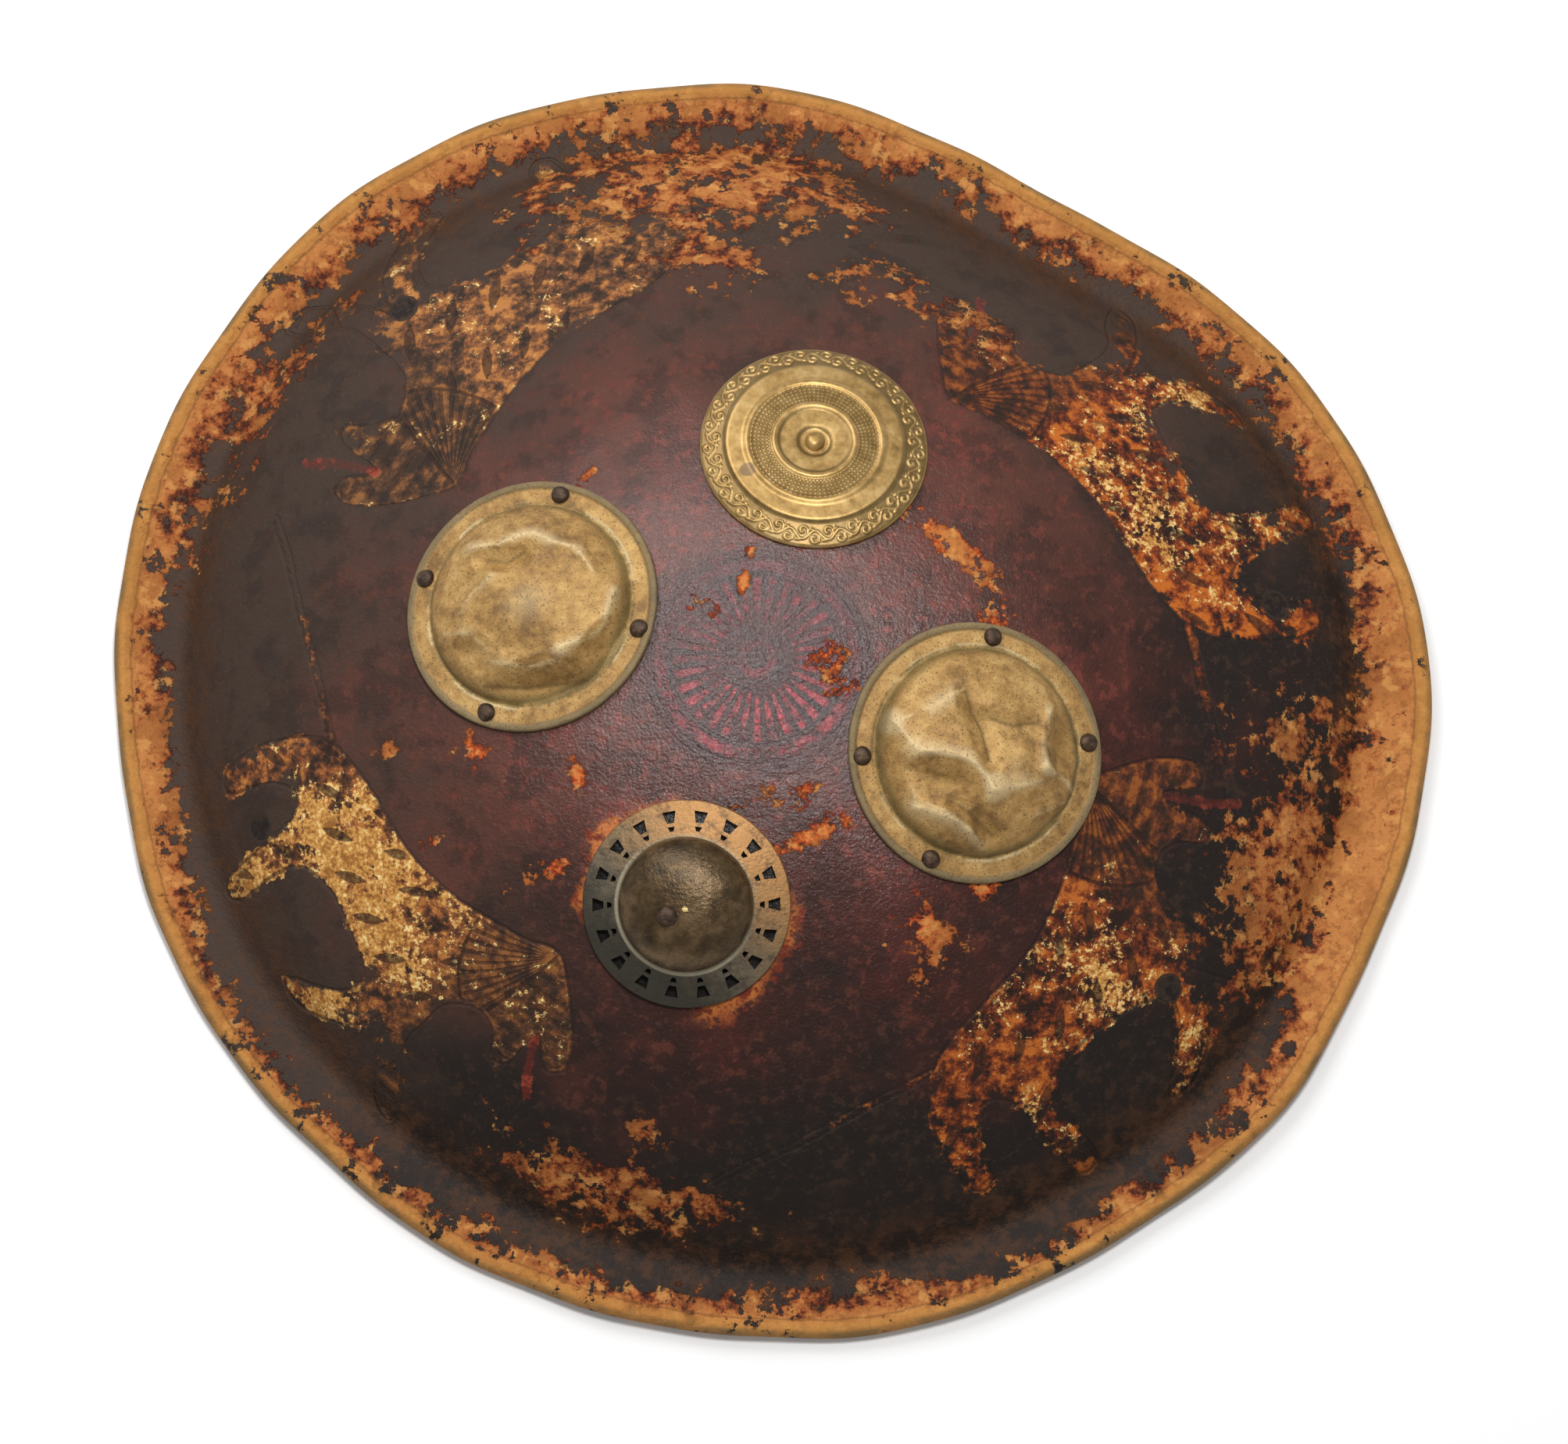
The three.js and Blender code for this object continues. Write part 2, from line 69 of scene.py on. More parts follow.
def hide_surface(radius):
    """Height of the unwarped outer surface over a radius, and its slope there."""
    if radius <= crown_reach:
        slope = math.asin(radius / crown_radius)
        return crown_up + crown_radius * math.cos(slope), slope
    if radius <= shoulder_reach:
        slope = math.asin((radius - shoulder_out) / shoulder_radius)
        return shoulder_up + shoulder_radius * math.cos(slope), slope
    if radius <= valley_end:
        slope = math.asin((valley_reach - radius) / valley_radius)
        return valley_height - valley_radius * math.cos(slope), slope
    rise = (radius - valley_end) * math.tan(flange_slope)
    return valley_height - valley_radius * math.cos(flange_slope) + rise, -flange_slope


def spaced(start, end, spacing):
    """Even radii from a start to an end that is left out, no further apart than a spacing."""
    return list(np.linspace(start, end, math.ceil((end - start) / spacing), endpoint=False))


def hide_outline():
    """The hide's section, from the top of the axis round the lip to the axis below."""
    finer_from, lip_start, lip_inner = 60, rim_radius - 7, rim_radius - 8
    radii = (spaced(0, finer_from, 2.4) + spaced(finer_from, valley_end, 1.75)
             + spaced(valley_end, lip_start, 1.4))
    outer = [(radius, hide_surface(radius)[0]) for radius in radii]
    lip_out = rim_radius - lip_radius
    lip_up = hide_surface(lip_out)[0] - hide_thickness / 2 / math.cos(flange_slope)
    lip = [(lip_out + lip_radius * math.sin(slope), lip_up + lip_radius * math.cos(slope))
           for slope in np.linspace(math.radians(-48), math.pi, 10)]
    inner = []
    for radius in spaced(0, shoulder_reach, 14) + spaced(shoulder_reach, lip_inner, 3):
        height, slope = hide_surface(radius)
        inner.append((radius - hide_thickness * math.sin(slope),
                      max(0, height - hide_thickness * math.cos(slope))))
    return outer + lip + inner[::-1]


def turned(name, outline, steps):
    """A closed body turned about +Z from an outline in millimetres that ends on the axis."""
    mesh = bpy.data.meshes.new(name)
    points = [(radius * MM, 0, height * MM) for radius, height in outline]
    mesh.from_pydata(points, [(start, start + 1) for start in range(len(points) - 1)], [])
    piece = bpy.data.objects.new(name, mesh)
    bpy.context.collection.objects.link(piece)
    piece.select_set(True)
    bpy.context.view_layer.objects.active = piece
    bpy.ops.object.mode_set(mode="EDIT")
    bpy.ops.mesh.select_all(action="SELECT")
    bpy.ops.mesh.spin(steps=steps, angle=2 * math.pi, center=(0, 0, 0), axis=(0, 0, 1))
    bpy.ops.mesh.select_all(action="SELECT")
    bpy.ops.mesh.remove_doubles(threshold=0.02 * MM)
    bpy.ops.mesh.normals_make_consistent(inside=False)
    bpy.ops.object.mode_set(mode="OBJECT")
    bpy.ops.object.shade_smooth()
    piece.select_set(False)
    return piece


def places(piece):
    """Where a piece's points are, as rows of x, y and z in millimetres."""
    flat = np.empty(len(piece.data.vertices) * 3)
    piece.data.vertices.foreach_get("co", flat)
    return flat.reshape(-1, 3) / MM


def move(piece, spots):
    """Moves a piece's points to rows of x, y and z in millimetres."""
    piece.data.vertices.foreach_set("co", (spots * MM).ravel())
    piece.data.update()


def note(piece, name, values):
    """Keeps a value at every point of a piece, for its material to read."""
    kept = piece.data.attributes.new(name, "FLOAT", "POINT")
    kept.data.foreach_set("value", values.astype(np.float32))


def eased(values, start, end):
    """Nothing up to a start and one from an end, with a smooth rise between them."""
    share = np.clip((values - start) / (end - start), 0, 1)
    return share * share * (3 - 2 * share)


def turn_from(bearings, middle):
    """Degrees from a middle bearing, between -180 and 180."""
    return (bearings - middle + 180) % 360 - 180


def oval_share(plan, middle, halves, degrees):
    """How far out over an oval points are: nothing at its middle and one on its edge."""
    turn = math.radians(degrees)
    x, y = plan[:, 0] - middle[0], plan[:, 1] - middle[1]
    along = x * math.cos(turn) + y * math.sin(turn)
    across = y * math.cos(turn) - x * math.sin(turn)
    return np.hypot(along / halves[0], across / halves[1])


hide = turned("hide", hide_outline(), steps=600)
spots = places(hide)
reach = np.hypot(spots[:, 0], spots[:, 1])
bearing = np.degrees(np.arctan2(spots[:, 1], spots[:, 0]))
section_reaches = np.arange(0, 223, 0.5)
section_heights = [hide_surface(radius)[0] for radius in section_reaches]
below_surface = np.interp(reach, section_reaches, section_heights) - spots[:, 2]
inside = (below_surface > 1.6) & (reach < rim_radius - 4)

# Each warp pushes a stretch of the rim out or in, and lifts it: bearing, spread, push and lift.
warps = [(3, 52, 12.3, 0), (61, 31, -8.7, 3), (128, 69, 14.8, 0), (239, 63, -6.2, 0),
         (320, 22, 4.7, 1)]
give = eased(reach, crown_reach, shoulder_reach)
push = np.zeros_like(reach)
lift = np.zeros_like(reach)
for middle, spread, out, up in warps:
    swell = (1 + np.cos(math.pi * np.minimum(np.abs(turn_from(bearing, middle)) / spread, 1))) / 2
    push += out * swell * give
    lift += up * swell * give
turns = np.radians(bearing)

# Small cockles round the rim, outwards and upwards: their height, number and start.
cockle_reach = 190
cockle = eased(reach, cockle_reach, rim_radius) * ~inside
for height, count, start in ((0.5, 9, 1), (0.3, 17, 0), (0.2, 31, 2)):
    push += cockle * height * np.sin(count * turns + start)
for height, count, start in ((0.3, 11, 2), (0.2, 23, 0)):
    lift += cockle * height * np.sin(count * turns + start)
widened = 1 + push / np.maximum(reach, 1)
spots = np.stack([spots[:, 0] * widened, spots[:, 1] * widened, spots[:, 2] + lift], axis=1)

# Old peg holes in the shoulder, filled a little below the surface: their reaches and bearings.
pegs = [(175.7, 131.7), (178.2, 194.9), (169.9, 323.6), (173.6, 10.2)]
peg_depth, peg_floor, peg_edge, far_away = 0.8, 3.3, 4.8, 50
peg_away = np.full_like(reach, far_away)
for out, middle in pegs:
    across = np.radians(turn_from(bearing, middle)) * out
    down = (reach - out) / math.cos(hide_surface(out)[1])
    peg_away = np.minimum(peg_away, np.hypot(across, down) + far_away * inside)
spots[:, 2] -= peg_depth * (1 - eased(peg_away, peg_floor, peg_edge))
move(hide, spots + np.array([*dome_axis, 0]))

# Where the lacquer has worn off: how far it is, in millimetres, past the edge of the bare hide.
# Round the rim the edge is a reach for each bearing, and each patch is an oval: its bearing,
# reach, half its width in degrees and half its height, and how deeply it is worn.
rim_edge = [(0, 197), (10, 202), (30, 203), (45, 205), (75, 206), (95, 207), (130, 203), (150, 203),
            (170, 205), (190, 204), (205, 211), (225, 210), (262, 211), (270, 206), (282, 207),
            (292, 213), (302, 213), (315, 210), (328, 206), (335, 194), (345, 187), (352, 190)]
patches = [(95, 183, 17, 18, 7), (96, 156, 6, 13, 4), (147, 196, 10, 7, 5), (341, 186, 12, 20, 7),
           (356, 177, 3, 11, 3), (253.5, 184, 11.5, 9, 5), (256, 160, 1.5, 3.4, 2.4),
           (303, 106, 4, 8, 2), (64, 148, 7, 4, 1)]
# Chips and scratches near the middle, as ovals too: x and y from the axis, half the length and
# half the width, the turn of the length in degrees, and the depth of the wear.
chips = [(64, 43, 22, 5, -40, 10), (18, -59.5, 12, 2.4, 24, 3.5), (-59, 64.5, 5, 1.7, 60, 3),
         (-60, -40.5, 7, 2.4, -80, 2.6), (84, 18, 3.5, 2.5, 0, 1.6), (-19, 19, 5, 3.4, -30, 3.5),
         (27, -5, 5, 2.6, -50, 1.2), (-4.6, 26, 3.4, 1.5, 80, 6), (-2.6, 37, 2.4, 2, 0, 4),
         (9, -46.5, 8, 2, 5, 1.6), (-95, -26, 5, 4.5, 0, 3.4), (-126, -26, 3.5, 1.8, 20, 2.4),
         (-112, -57, 4.5, 2.8, 10, 3.4), (-77, -71, 6, 1.5, 20, 1.5), (75, -75, 4, 2.5, 0, 3)]
fades, unworn = 1.5, -20
edge_bearings, edge_reaches = zip(*rim_edge)
worn = reach - np.interp(bearing, edge_bearings, edge_reaches, period=360)
for middle, out, width, height, depth in patches:
    oval = np.hypot(turn_from(bearing, middle) / width, (reach - out) / height)
    worn = np.maximum(worn, depth * (1 - oval ** fades))
plan = spots[:, :2]
for x, y, long, short, degrees, depth in chips:
    worn = np.maximum(worn, depth * (1 - oval_share(plan, (x, y), (long, short), degrees) ** fades))
for name, values in (("worn", np.maximum(worn, unworn)), ("reach", reach), ("inside", inside),
                     ("peg_away", peg_away)):
    note(hide, name, values)

# The tigers stride round the shoulder, all four alike and in a plain traditional drawing. The
# outline is in degrees back from the nose and millimetres from the axis.
tiger = [(8, 117), (14, 120), (20, 123), (28, 128), (36, 132), (44, 135), (50, 139), (55, 146),
         (57, 155), (57.5, 170), (56, 185), (53.5, 186), (53, 172), (51, 163), (48, 166),
         (46.5, 180), (45, 196), (42.5, 194), (43, 180), (42, 168), (37, 163), (31, 165), (27, 170),
         (28, 180), (33, 192), (30, 194), (25, 186), (23, 178), (22, 172), (20.5, 182),
         (17.5, 196), (14.5, 198), (15.5, 188), (18, 178), (18, 165), (17, 154), (13, 148),
         (10, 152), (8.5, 159), (6.5, 158), (5.5, 149), (4.8, 143), (3.5, 147), (2, 153),
         (-0.5, 150), (0, 140), (3, 128)]
tiger_tail = [(55.5, 147), (62, 149), (68, 153), (74, 159), (80, 166), (84, 173)]
tiger_tongue = [(4.8, 144), (4, 154), (2.6, 164)]
tiger_reach = 158
# Each tiger's nose, how far it is shifted outwards, how much of its gold is left, and how far
# its ground has turned from olive to rust.
tigers = [(155, 6, 0.24, 0.1), (63.5, 0, 0.6, 1), (349, 0, 0.5, 0.9), (243.5, 0, 1.1, 0.3)]


def smooth_line(points, closed):
    """A curve through points, as many more points between them."""
    kept = np.array(points, float)
    before, after = np.roll(kept, 1, axis=0), np.roll(kept, -1, axis=0)
    beyond = np.roll(kept, -2, axis=0)
    if not closed:
        before[0], after[-1], beyond[-2:] = kept[0], kept[-1], kept[-1]
    curve = []
    for share in (0, 0.25, 0.5, 0.75):
        pull = (2 * kept + (after - before) * share
                + (2 * before - 5 * kept + 4 * after - beyond) * share ** 2
                + (3 * kept - before - 3 * after + beyond) * share ** 3) / 2
        curve.append(pull)
    line = np.stack(curve, axis=1).reshape(-1, 2)
    return line if closed else np.vstack([line[:-4], kept[-1]])


def line_distance(along, out, line, closed):
    """How far points are from a line, and whether they are inside it when it is closed."""
    nearest = np.full(len(along), 1e6)
    within = np.zeros(len(along), bool)
    ends = np.roll(line, -1, axis=0) if closed else line[1:]
    for (ax, ay), (bx, by) in zip(line, ends):
        dx, dy = bx - ax, by - ay
        share = np.clip(((along - ax) * dx + (out - ay) * dy) / (dx * dx + dy * dy + 1e-9), 0, 1)
        nearest = np.minimum(nearest, np.hypot(along - ax - share * dx, out - ay - share * dy))
        if closed and ay != by:
            crossing = (ay > out) != (by > out)
            within ^= crossing & (along < dx * (out - ay) / dy + ax)
    return nearest, within


# How far the lacquer's points are from the figures, and where each lies on its tiger.
arc_length = math.radians(1) * tiger_reach
tail_half_width, tongue_half_width, off_figure = 1.1, 1.8, -20
figure_start, figure_end, figure_inner, figure_outer = -8, 92, 100, 215
body_line = smooth_line(tiger, True) * (arc_length, 1)
tail_line = smooth_line(tiger_tail, False) * (arc_length, 1)
tongue_line = smooth_line(tiger_tongue, False) * (arc_length, 1)
tongue = np.full_like(reach, off_figure)
figure = np.full_like(reach, off_figure)
figure_along = np.zeros_like(reach)
figure_out = np.zeros_like(reach)
gold_left = np.zeros_like(reach)
rusted_ground = np.zeros_like(reach)
for nose, shift, gold, rusty in tigers:
    back = turn_from(nose - bearing, 40) + 40
    near = (back > figure_start) & (back < figure_end) & ~inside
    near &= (reach > figure_inner) & (reach < figure_outer)
    along, out = back[near] * arc_length, reach[near] - shift
    distance, within = line_distance(along, out, body_line, True)
    tail_distance, _ = line_distance(along, out, tail_line, False)
    signed = np.maximum(np.where(within, distance, -distance), tail_half_width - tail_distance)
    tongue_distance, _ = line_distance(along, out, tongue_line, False)
    tongue[near] = np.maximum(tongue[near], tongue_half_width - tongue_distance)
    closer = signed > figure[near]
    for values, new in ((figure, signed), (figure_along, along), (figure_out, out),
                        (gold_left, np.full(len(along), gold)),
                        (rusted_ground, np.full(len(along), rusty))):
        values[near] = np.where(closer, new, values[near])
for name, values in (("figure", figure), ("tongue", tongue), ("figure_along", figure_along),
                     ("figure_out", figure_out), ("gold_left", gold_left),
                     ("rusted_ground", rusted_ground)):
    note(hide, name, values)


def colour(code):
    """A colour as a shader takes it, from its usual code of six digits."""
    shares = [int(code[start:start + 2], 16) / 255 for start in (0, 2, 4)]
    return [((share + 0.055) / 1.055) ** 2.4 if share > 0.04 else share / 12.92
            for share in shares] + [1]


class Finish:
    """A material that is built up on its shader, layer over layer."""

    object_place, factor, mixed_colour, first_colour, second_colour = 3, 2, 2, 6, 7

    def __init__(self, name, metallic=0):
        self.material = bpy.data.materials.new(name)
        self.material.use_nodes = True
        self.shader = self.material.node_tree.nodes["Principled BSDF"]
        self.shader.inputs["Metallic"].default_value = metallic
        self.spot = self.add("ShaderNodeTexCoord", {}, self.object_place)

    def add(self, kind, inputs, output=0, **settings):
        """A node with its inputs linked or set, as one of its outputs."""
        made = self.material.node_tree.nodes.new(kind)
        for setting, value in settings.items():
            setattr(made, setting, value)
        for socket, value in inputs.items():
            if isinstance(value, bpy.types.NodeSocket):
                self.material.node_tree.links.new(value, made.inputs[socket])
            else:
                made.inputs[socket].default_value = value
        return made.outputs[output]

    def kept(self, name):
        """A value that was noted at the points of the piece."""
        return self.add("ShaderNodeAttribute", {}, self.factor, attribute_name=name)

    def link(self, value, socket):
        """Joins a value to one of the shader's sockets."""
        self.material.node_tree.links.new(value, self.shader.inputs[socket])

    def maths(self, operation, *values):
        """One step of arithmetic."""
        return self.add("ShaderNodeMath", dict(enumerate(values)), operation=operation)

    def total(self, whole, *others):
        """The sum of several values."""
        for value in others:
            whole = self.maths("ADD", whole, value)
        return whole

    def times(self, whole, *others):
        """The product of several values."""
        for value in others:
            whole = self.maths("MULTIPLY", whole, value)
        return whole

    def away(self, x, y):
        """How far a place is from the middle, by its x and y."""
        return self.maths("SQRT", self.total(self.times(x, x), self.times(y, y)))

    def cloud(self, size, reach=1, detail=4, roughness=0.6, stretch=None):
        """Noise about nothing: patches of a size in millimetres, mostly within half a reach."""
        spot = self.spot
        if stretch:
            spot = self.add("ShaderNodeMapping", {"Vector": spot, "Scale": stretch})
        noise = self.add("ShaderNodeTexNoise", {"Vector": spot, "Scale": 1 / (size * MM),
                                                "Detail": detail, "Roughness": roughness})
        gain = 2.2 * reach  # Blender's noise seldom strays far from a half
        return self.maths("MULTIPLY_ADD", noise, gain, -gain / 2)

    def rise(self, value, start, end, low=0, high=1):
        """A smooth rise of a value between a start and an end."""
        return self.add("ShaderNodeMapRange", {"Value": value, "From Min": start, "From Max": end,
                                               "To Min": low, "To Max": high},
                        interpolation_type="SMOOTHSTEP")

    def band(self, value, start, end, soft):
        """One between a start and an end, with soft edges, and nothing elsewhere."""
        return self.times(self.rise(value, start - soft, start + soft),
                        self.rise(value, end - soft, end + soft, 1, 0))

    def ramp(self, value, *stops):
        """A colour from a value, by stops of a place from nothing to one and a colour code."""
        made = self.material.node_tree.nodes.new("ShaderNodeValToRGB")
        self.material.node_tree.links.new(value, made.inputs[0])
        elements = made.color_ramp.elements
        while len(elements) < len(stops):
            elements.new(1)
        for element, (place, code) in zip(elements, stops):
            element.position = place
            element.color = colour(code)
        return made.outputs[0]

    def over(self, share, under, upper):
        """A colour laid over another, as thickly as a share says."""
        paints = [colour(paint) if isinstance(paint, str) else paint for paint in (under, upper)]
        return self.add("ShaderNodeMix", {0: share, self.first_colour: paints[0],
                                          self.second_colour: paints[1]},
                        self.mixed_colour, data_type="RGBA", clamp_factor=True)

    def relief(self, height, depth, normal=None):
        """The surface's direction under a relief whose depth is in millimetres."""
        inputs = {"Height": height, "Distance": depth * MM, "Strength": 1}
        if normal:
            inputs["Normal"] = normal
        return self.add("ShaderNodeBump", inputs)

    def done(self, piece, paint, roughness=None, normal=None):
        """Gives the piece this finish."""
        for socket, value in (("Base Color", paint), ("Roughness", roughness), ("Normal", normal)):
            if value:
                self.link(value, socket)
        piece.data.materials.clear()
        piece.data.materials.append(self.material)


skin = Finish("lacquered_hide")
skin.shader.inputs["Specular IOR Level"].default_value = 0.2
out = skin.kept("reach")
blotch = skin.cloud(45, 1, 3)
patch = skin.cloud(16, 1, 6, 0.62)
fleck = skin.cloud(4.5, 1, 6, 0.68)
grain = skin.cloud(1.1, 1, 3)
centred = skin.add("ShaderNodeMapping", {"Vector": skin.spot, "Scale": (1 / MM, 1 / MM, 0),
                                         "Location": (-dome_axis[0], -dome_axis[1], 0)})
apart = skin.add("ShaderNodeSeparateXYZ", {"Vector": centred}).node
across, up = apart.outputs[0], apart.outputs[1]

# Lacquer: purplish red over the middle, and lighter there in part as painted sheen, brown-black further
# out, and darker towards the lower right as painted shade; mottled by old polish, and flecked and
# specked where it has rubbed.
from_middle = skin.rise(skin.total(out, skin.times(blotch, 90)), 50, 175)
shaded_lower_right = skin.total(skin.times(across, 0.7), skin.times(up, -1), skin.times(blotch, 80))
redness = skin.rise(skin.total(out, skin.times(blotch, 60)), 35, 100, 0.6, 0.34)
mottles = skin.rise(skin.cloud(9, 1, 6, 0.7), 0.02, 0.25)
specks = skin.rise(skin.cloud(1.6, 1, 5, 0.7), 0.24, 0.34)
# The middle's lighter colour is in part painted sheen.
lacquer = skin.over(from_middle, "5A3127", "3B2D25")
# Painted shade: the lacquer darkens towards the lower right.
lacquer = skin.over(skin.rise(shaded_lower_right, -40, 110, 0, 0.85), lacquer,
                    skin.over(from_middle, "441A13", "15100E"))
lacquer = skin.over(skin.rise(patch, -0.05, 0.2, 0, 0.42), lacquer, "1F1512")
lacquer = skin.over(skin.times(mottles, redness), lacquer,
                    skin.over(from_middle, "6A2C25", "33241B"))
lacquer = skin.over(skin.times(skin.rise(fleck, 0.08, 0.26), redness), lacquer,
                    skin.over(from_middle, "823E31", "452F20"))
lacquer = skin.over(skin.times(specks, skin.rise(out, 50, 130, 0.5, 0.15)), lacquer, "7A5C4A")

# The rosette: petals round the apex between engraved rings, on a darker ground, with a double
# ring round them. Rings are given by their inner and outer reach, painted ones with the softness
# of their edges. The lacquer is finely crackled here.
petal_count, petals_start, petals_end = 32, 12.5, 28
painted_rings = [(4, 6.5, 0.7), (31, 34.5, 0.6)]
engraved_rings = [(2, 2.6), (8, 8.7), (11, 11.6), (29.2, 29.8), (35.6, 36.2), (38, 38.6)]
crackle_size = 2.3
petal = skin.maths("COSINE", skin.times(skin.maths("ARCTAN2", up, across), petal_count))
petals = skin.times(skin.rise(petal, -0.35, 0.35), skin.band(out, petals_start, petals_end, 1))
rings = skin.times(skin.total(*[skin.band(out, *ring) for ring in painted_rings]), 0.5)
between_petals = skin.times(skin.band(petal, -1, -0.75, 0.2),
                            skin.band(out, petals_start - 0.5, petals_end + 1, 1))
lines = skin.total(between_petals,
                   *[skin.band(out, start, end, 0.4) for start, end in engraved_rings])
ground = skin.rise(skin.total(out, skin.times(patch, 12)), 44, 34, 0, 0.6)
lacquer = skin.over(ground, lacquer, "2C191B")
left = skin.rise(skin.total(fleck, skin.times(patch, 0.8), skin.cloud(1.5, 0.7)), -0.3, 0.4)
brighter = skin.rise(skin.total(up, skin.times(blotch, 40)), 20, -25, 0.6, 1)
lacquer = skin.over(skin.times(skin.total(petals, rings), left, brighter), lacquer,
                    skin.over(skin.rise(up, 5, -22), "8E2E36", "BC3E48"))
cells = skin.add("ShaderNodeTexVoronoi", {"Vector": skin.spot, "Scale": 1 / (crackle_size * MM)},
                 feature="DISTANCE_TO_EDGE")
crackle = skin.times(skin.rise(cells, 0.02, 0.1, 1, 0),
                     skin.rise(skin.total(out, skin.times(patch, 30)), 55, 25))
engraved = skin.maths("MAXIMUM", lines, skin.times(crackle, 0.8))
lacquer = skin.over(skin.times(engraved, left, 0.75), lacquer, "1C1718")

# The tigers: olive or rust where the gold has gone, and flakes of it where it has stayed. Their
# heads are dark, their legs are more worn than their bodies, and most gold is left behind the
# ruff, between two distances from the nose.
gold_start, gold_end = 66, 138
leg_wear = skin.rise(skin.kept("figure_out"), 140, 172)
ragged = skin.maths("MULTIPLY_ADD", leg_wear, 4, 0.7)
figure_field = skin.total(skin.kept("figure"), skin.times(ragged, skin.total(patch, fleck)))
on_tiger = skin.rise(figure_field, -0.3, 0.3)
along, height = skin.kept("figure_along"), skin.kept("figure_out")
gilded = skin.maths("MULTIPLY_ADD", skin.band(along, gold_start, gold_end, 16), 0.9, 0.1)
gold_share = skin.times(skin.kept("gold_left"), gilded)
mixture = skin.total(skin.cloud(6, 1.2, 6, 0.7), skin.times(fleck, 0.5), skin.cloud(30, 0.4, 2), 0.5)
rusty = skin.ramp(mixture, (0.2, "25130D"), (0.42, "5A2410"), (0.58, "863C15"), (0.8, "B4601E"))
olive = skin.ramp(mixture, (0.2, "2F2118"), (0.42, "563924"), (0.58, "784B2A"), (0.8, "A8703A"))
body = skin.over(skin.kept("rusted_ground"), olive, rusty)
body = skin.over(skin.rise(along, gold_start, 50, 0, 0.5), body, "35261A")
gold = skin.total(skin.times(gold_share, 0.55), skin.cloud(24, 0.6, 3), skin.cloud(7, 0.5, 4),
                  skin.cloud(2.6, 0.9, 5, 0.75))
flakes = skin.rise(gold, 0.4, 0.5)
lustre = skin.total(skin.cloud(1.3, 0.7, 4), skin.times(fleck, 0.8), skin.times(gold_share, -0.15),
                    0.55)
leaf = skin.ramp(lustre, (0.15, "8E5C28"), (0.5, "C48D47"), (0.85, "E8CE8A"))
painted = skin.over(flakes, body, leaf)

# Tooling in the tigers: slanting lens-shaped strokes in staggered rows on the body, a ruff of
# lines that spread from the top of the head, stripes across the head, and the outline.
stroke_length, stroke_gap, slant, stagger = 25, 12, math.radians(43), 0.41
lens_half_height, lens_taper = 0.15, 2.2
ruff_along, ruff_out, ruff_start, ruff_reach, ruff_lines = 22, 118, 6, 38, 62
head_lean, stripe_spread = -0.42, 1.15
lengthwise = skin.total(skin.times(along, math.cos(slant)), skin.times(height, math.sin(slant)))
crosswise = skin.maths("SUBTRACT", skin.times(height, math.cos(slant)),
                       skin.times(along, math.sin(slant)))
rows = skin.maths("DIVIDE", crosswise, stroke_gap)
shifted = skin.maths("MULTIPLY_ADD", skin.maths("FLOOR", rows), stroke_length * stagger, lengthwise)
in_stroke = skin.maths("FRACT", skin.maths("DIVIDE", shifted, stroke_length))
along_stroke = skin.maths("SUBTRACT", in_stroke, 0.5)
across_row = skin.maths("SUBTRACT", skin.maths("FRACT", rows), 0.5)
lens_edge = skin.maths("MULTIPLY_ADD", skin.times(along_stroke, along_stroke), -lens_taper,
                       lens_half_height)
lens = skin.maths("SUBTRACT", lens_edge, skin.maths("ABSOLUTE", across_row))
ruff_x, ruff_y = skin.maths("SUBTRACT", along, ruff_along), skin.maths("SUBTRACT", height, ruff_out)
ruff_angle = skin.maths("ARCTAN2", ruff_y, ruff_x)
ruff_away = skin.away(ruff_x, ruff_y)
behind_head = skin.maths("MULTIPLY_ADD", ruff_y, head_lean, ruff_x)
ruff = skin.times(skin.rise(skin.maths("COSINE", skin.times(ruff_angle, ruff_lines)), 0, 0.7),
                  skin.band(ruff_away, ruff_start, ruff_reach, 2), skin.rise(behind_head, 0, 1))
stripe = skin.maths("COSINE", skin.total(skin.times(height, stripe_spread), skin.times(fleck, 2)))
stripes = skin.times(skin.rise(stripe, 0.1, 0.8), skin.rise(behind_head, 0, -1))
collar = skin.total(skin.band(behind_head, -0.7, 0.7, 0.3),
                    skin.band(ruff_away, ruff_reach, ruff_reach + 1.2, 0.4))
strokes = skin.times(skin.rise(lens, -0.01, 0.03), skin.rise(ruff_away, ruff_reach, ruff_reach + 3),
                     skin.rise(patch, -0.4, -0.2))
tooling = skin.times(skin.total(strokes, skin.times(ruff, 0.8), skin.times(stripes, 0.7), collar),
                     skin.rise(skin.kept("figure"), 0.8, 2))
outline = skin.band(skin.total(skin.kept("figure"), skin.times(fleck, 0.8)), -0.5, 0.5, 0.35)
tooled = skin.maths("MINIMUM", skin.maths("MAXIMUM", tooling, outline), 1)
painted = skin.over(skin.times(tooled, 0.75), painted, "241711")
holds = skin.total(patch, skin.times(gold_share, 0.3), skin.times(fleck, 0.6),
                   skin.times(leg_wear, -0.35), skin.rise(along, 160, 172, 0, -0.22),
                   skin.times(skin.rise(skin.kept("figure"), 0, 8), 0.3))
paint = skin.over(skin.times(on_tiger, skin.rise(holds, -0.32, -0.12)), lacquer, painted)
tongue = skin.rise(skin.total(skin.kept("tongue"), skin.times(fleck, 2)), -0.2, 0.5)
paint = skin.over(skin.times(tongue, skin.rise(patch, -0.3, 0.2, 0.3, 0.8)), paint,
                  skin.over(skin.rise(fleck, -0.1, 0.2), "611F18", "963E28"))
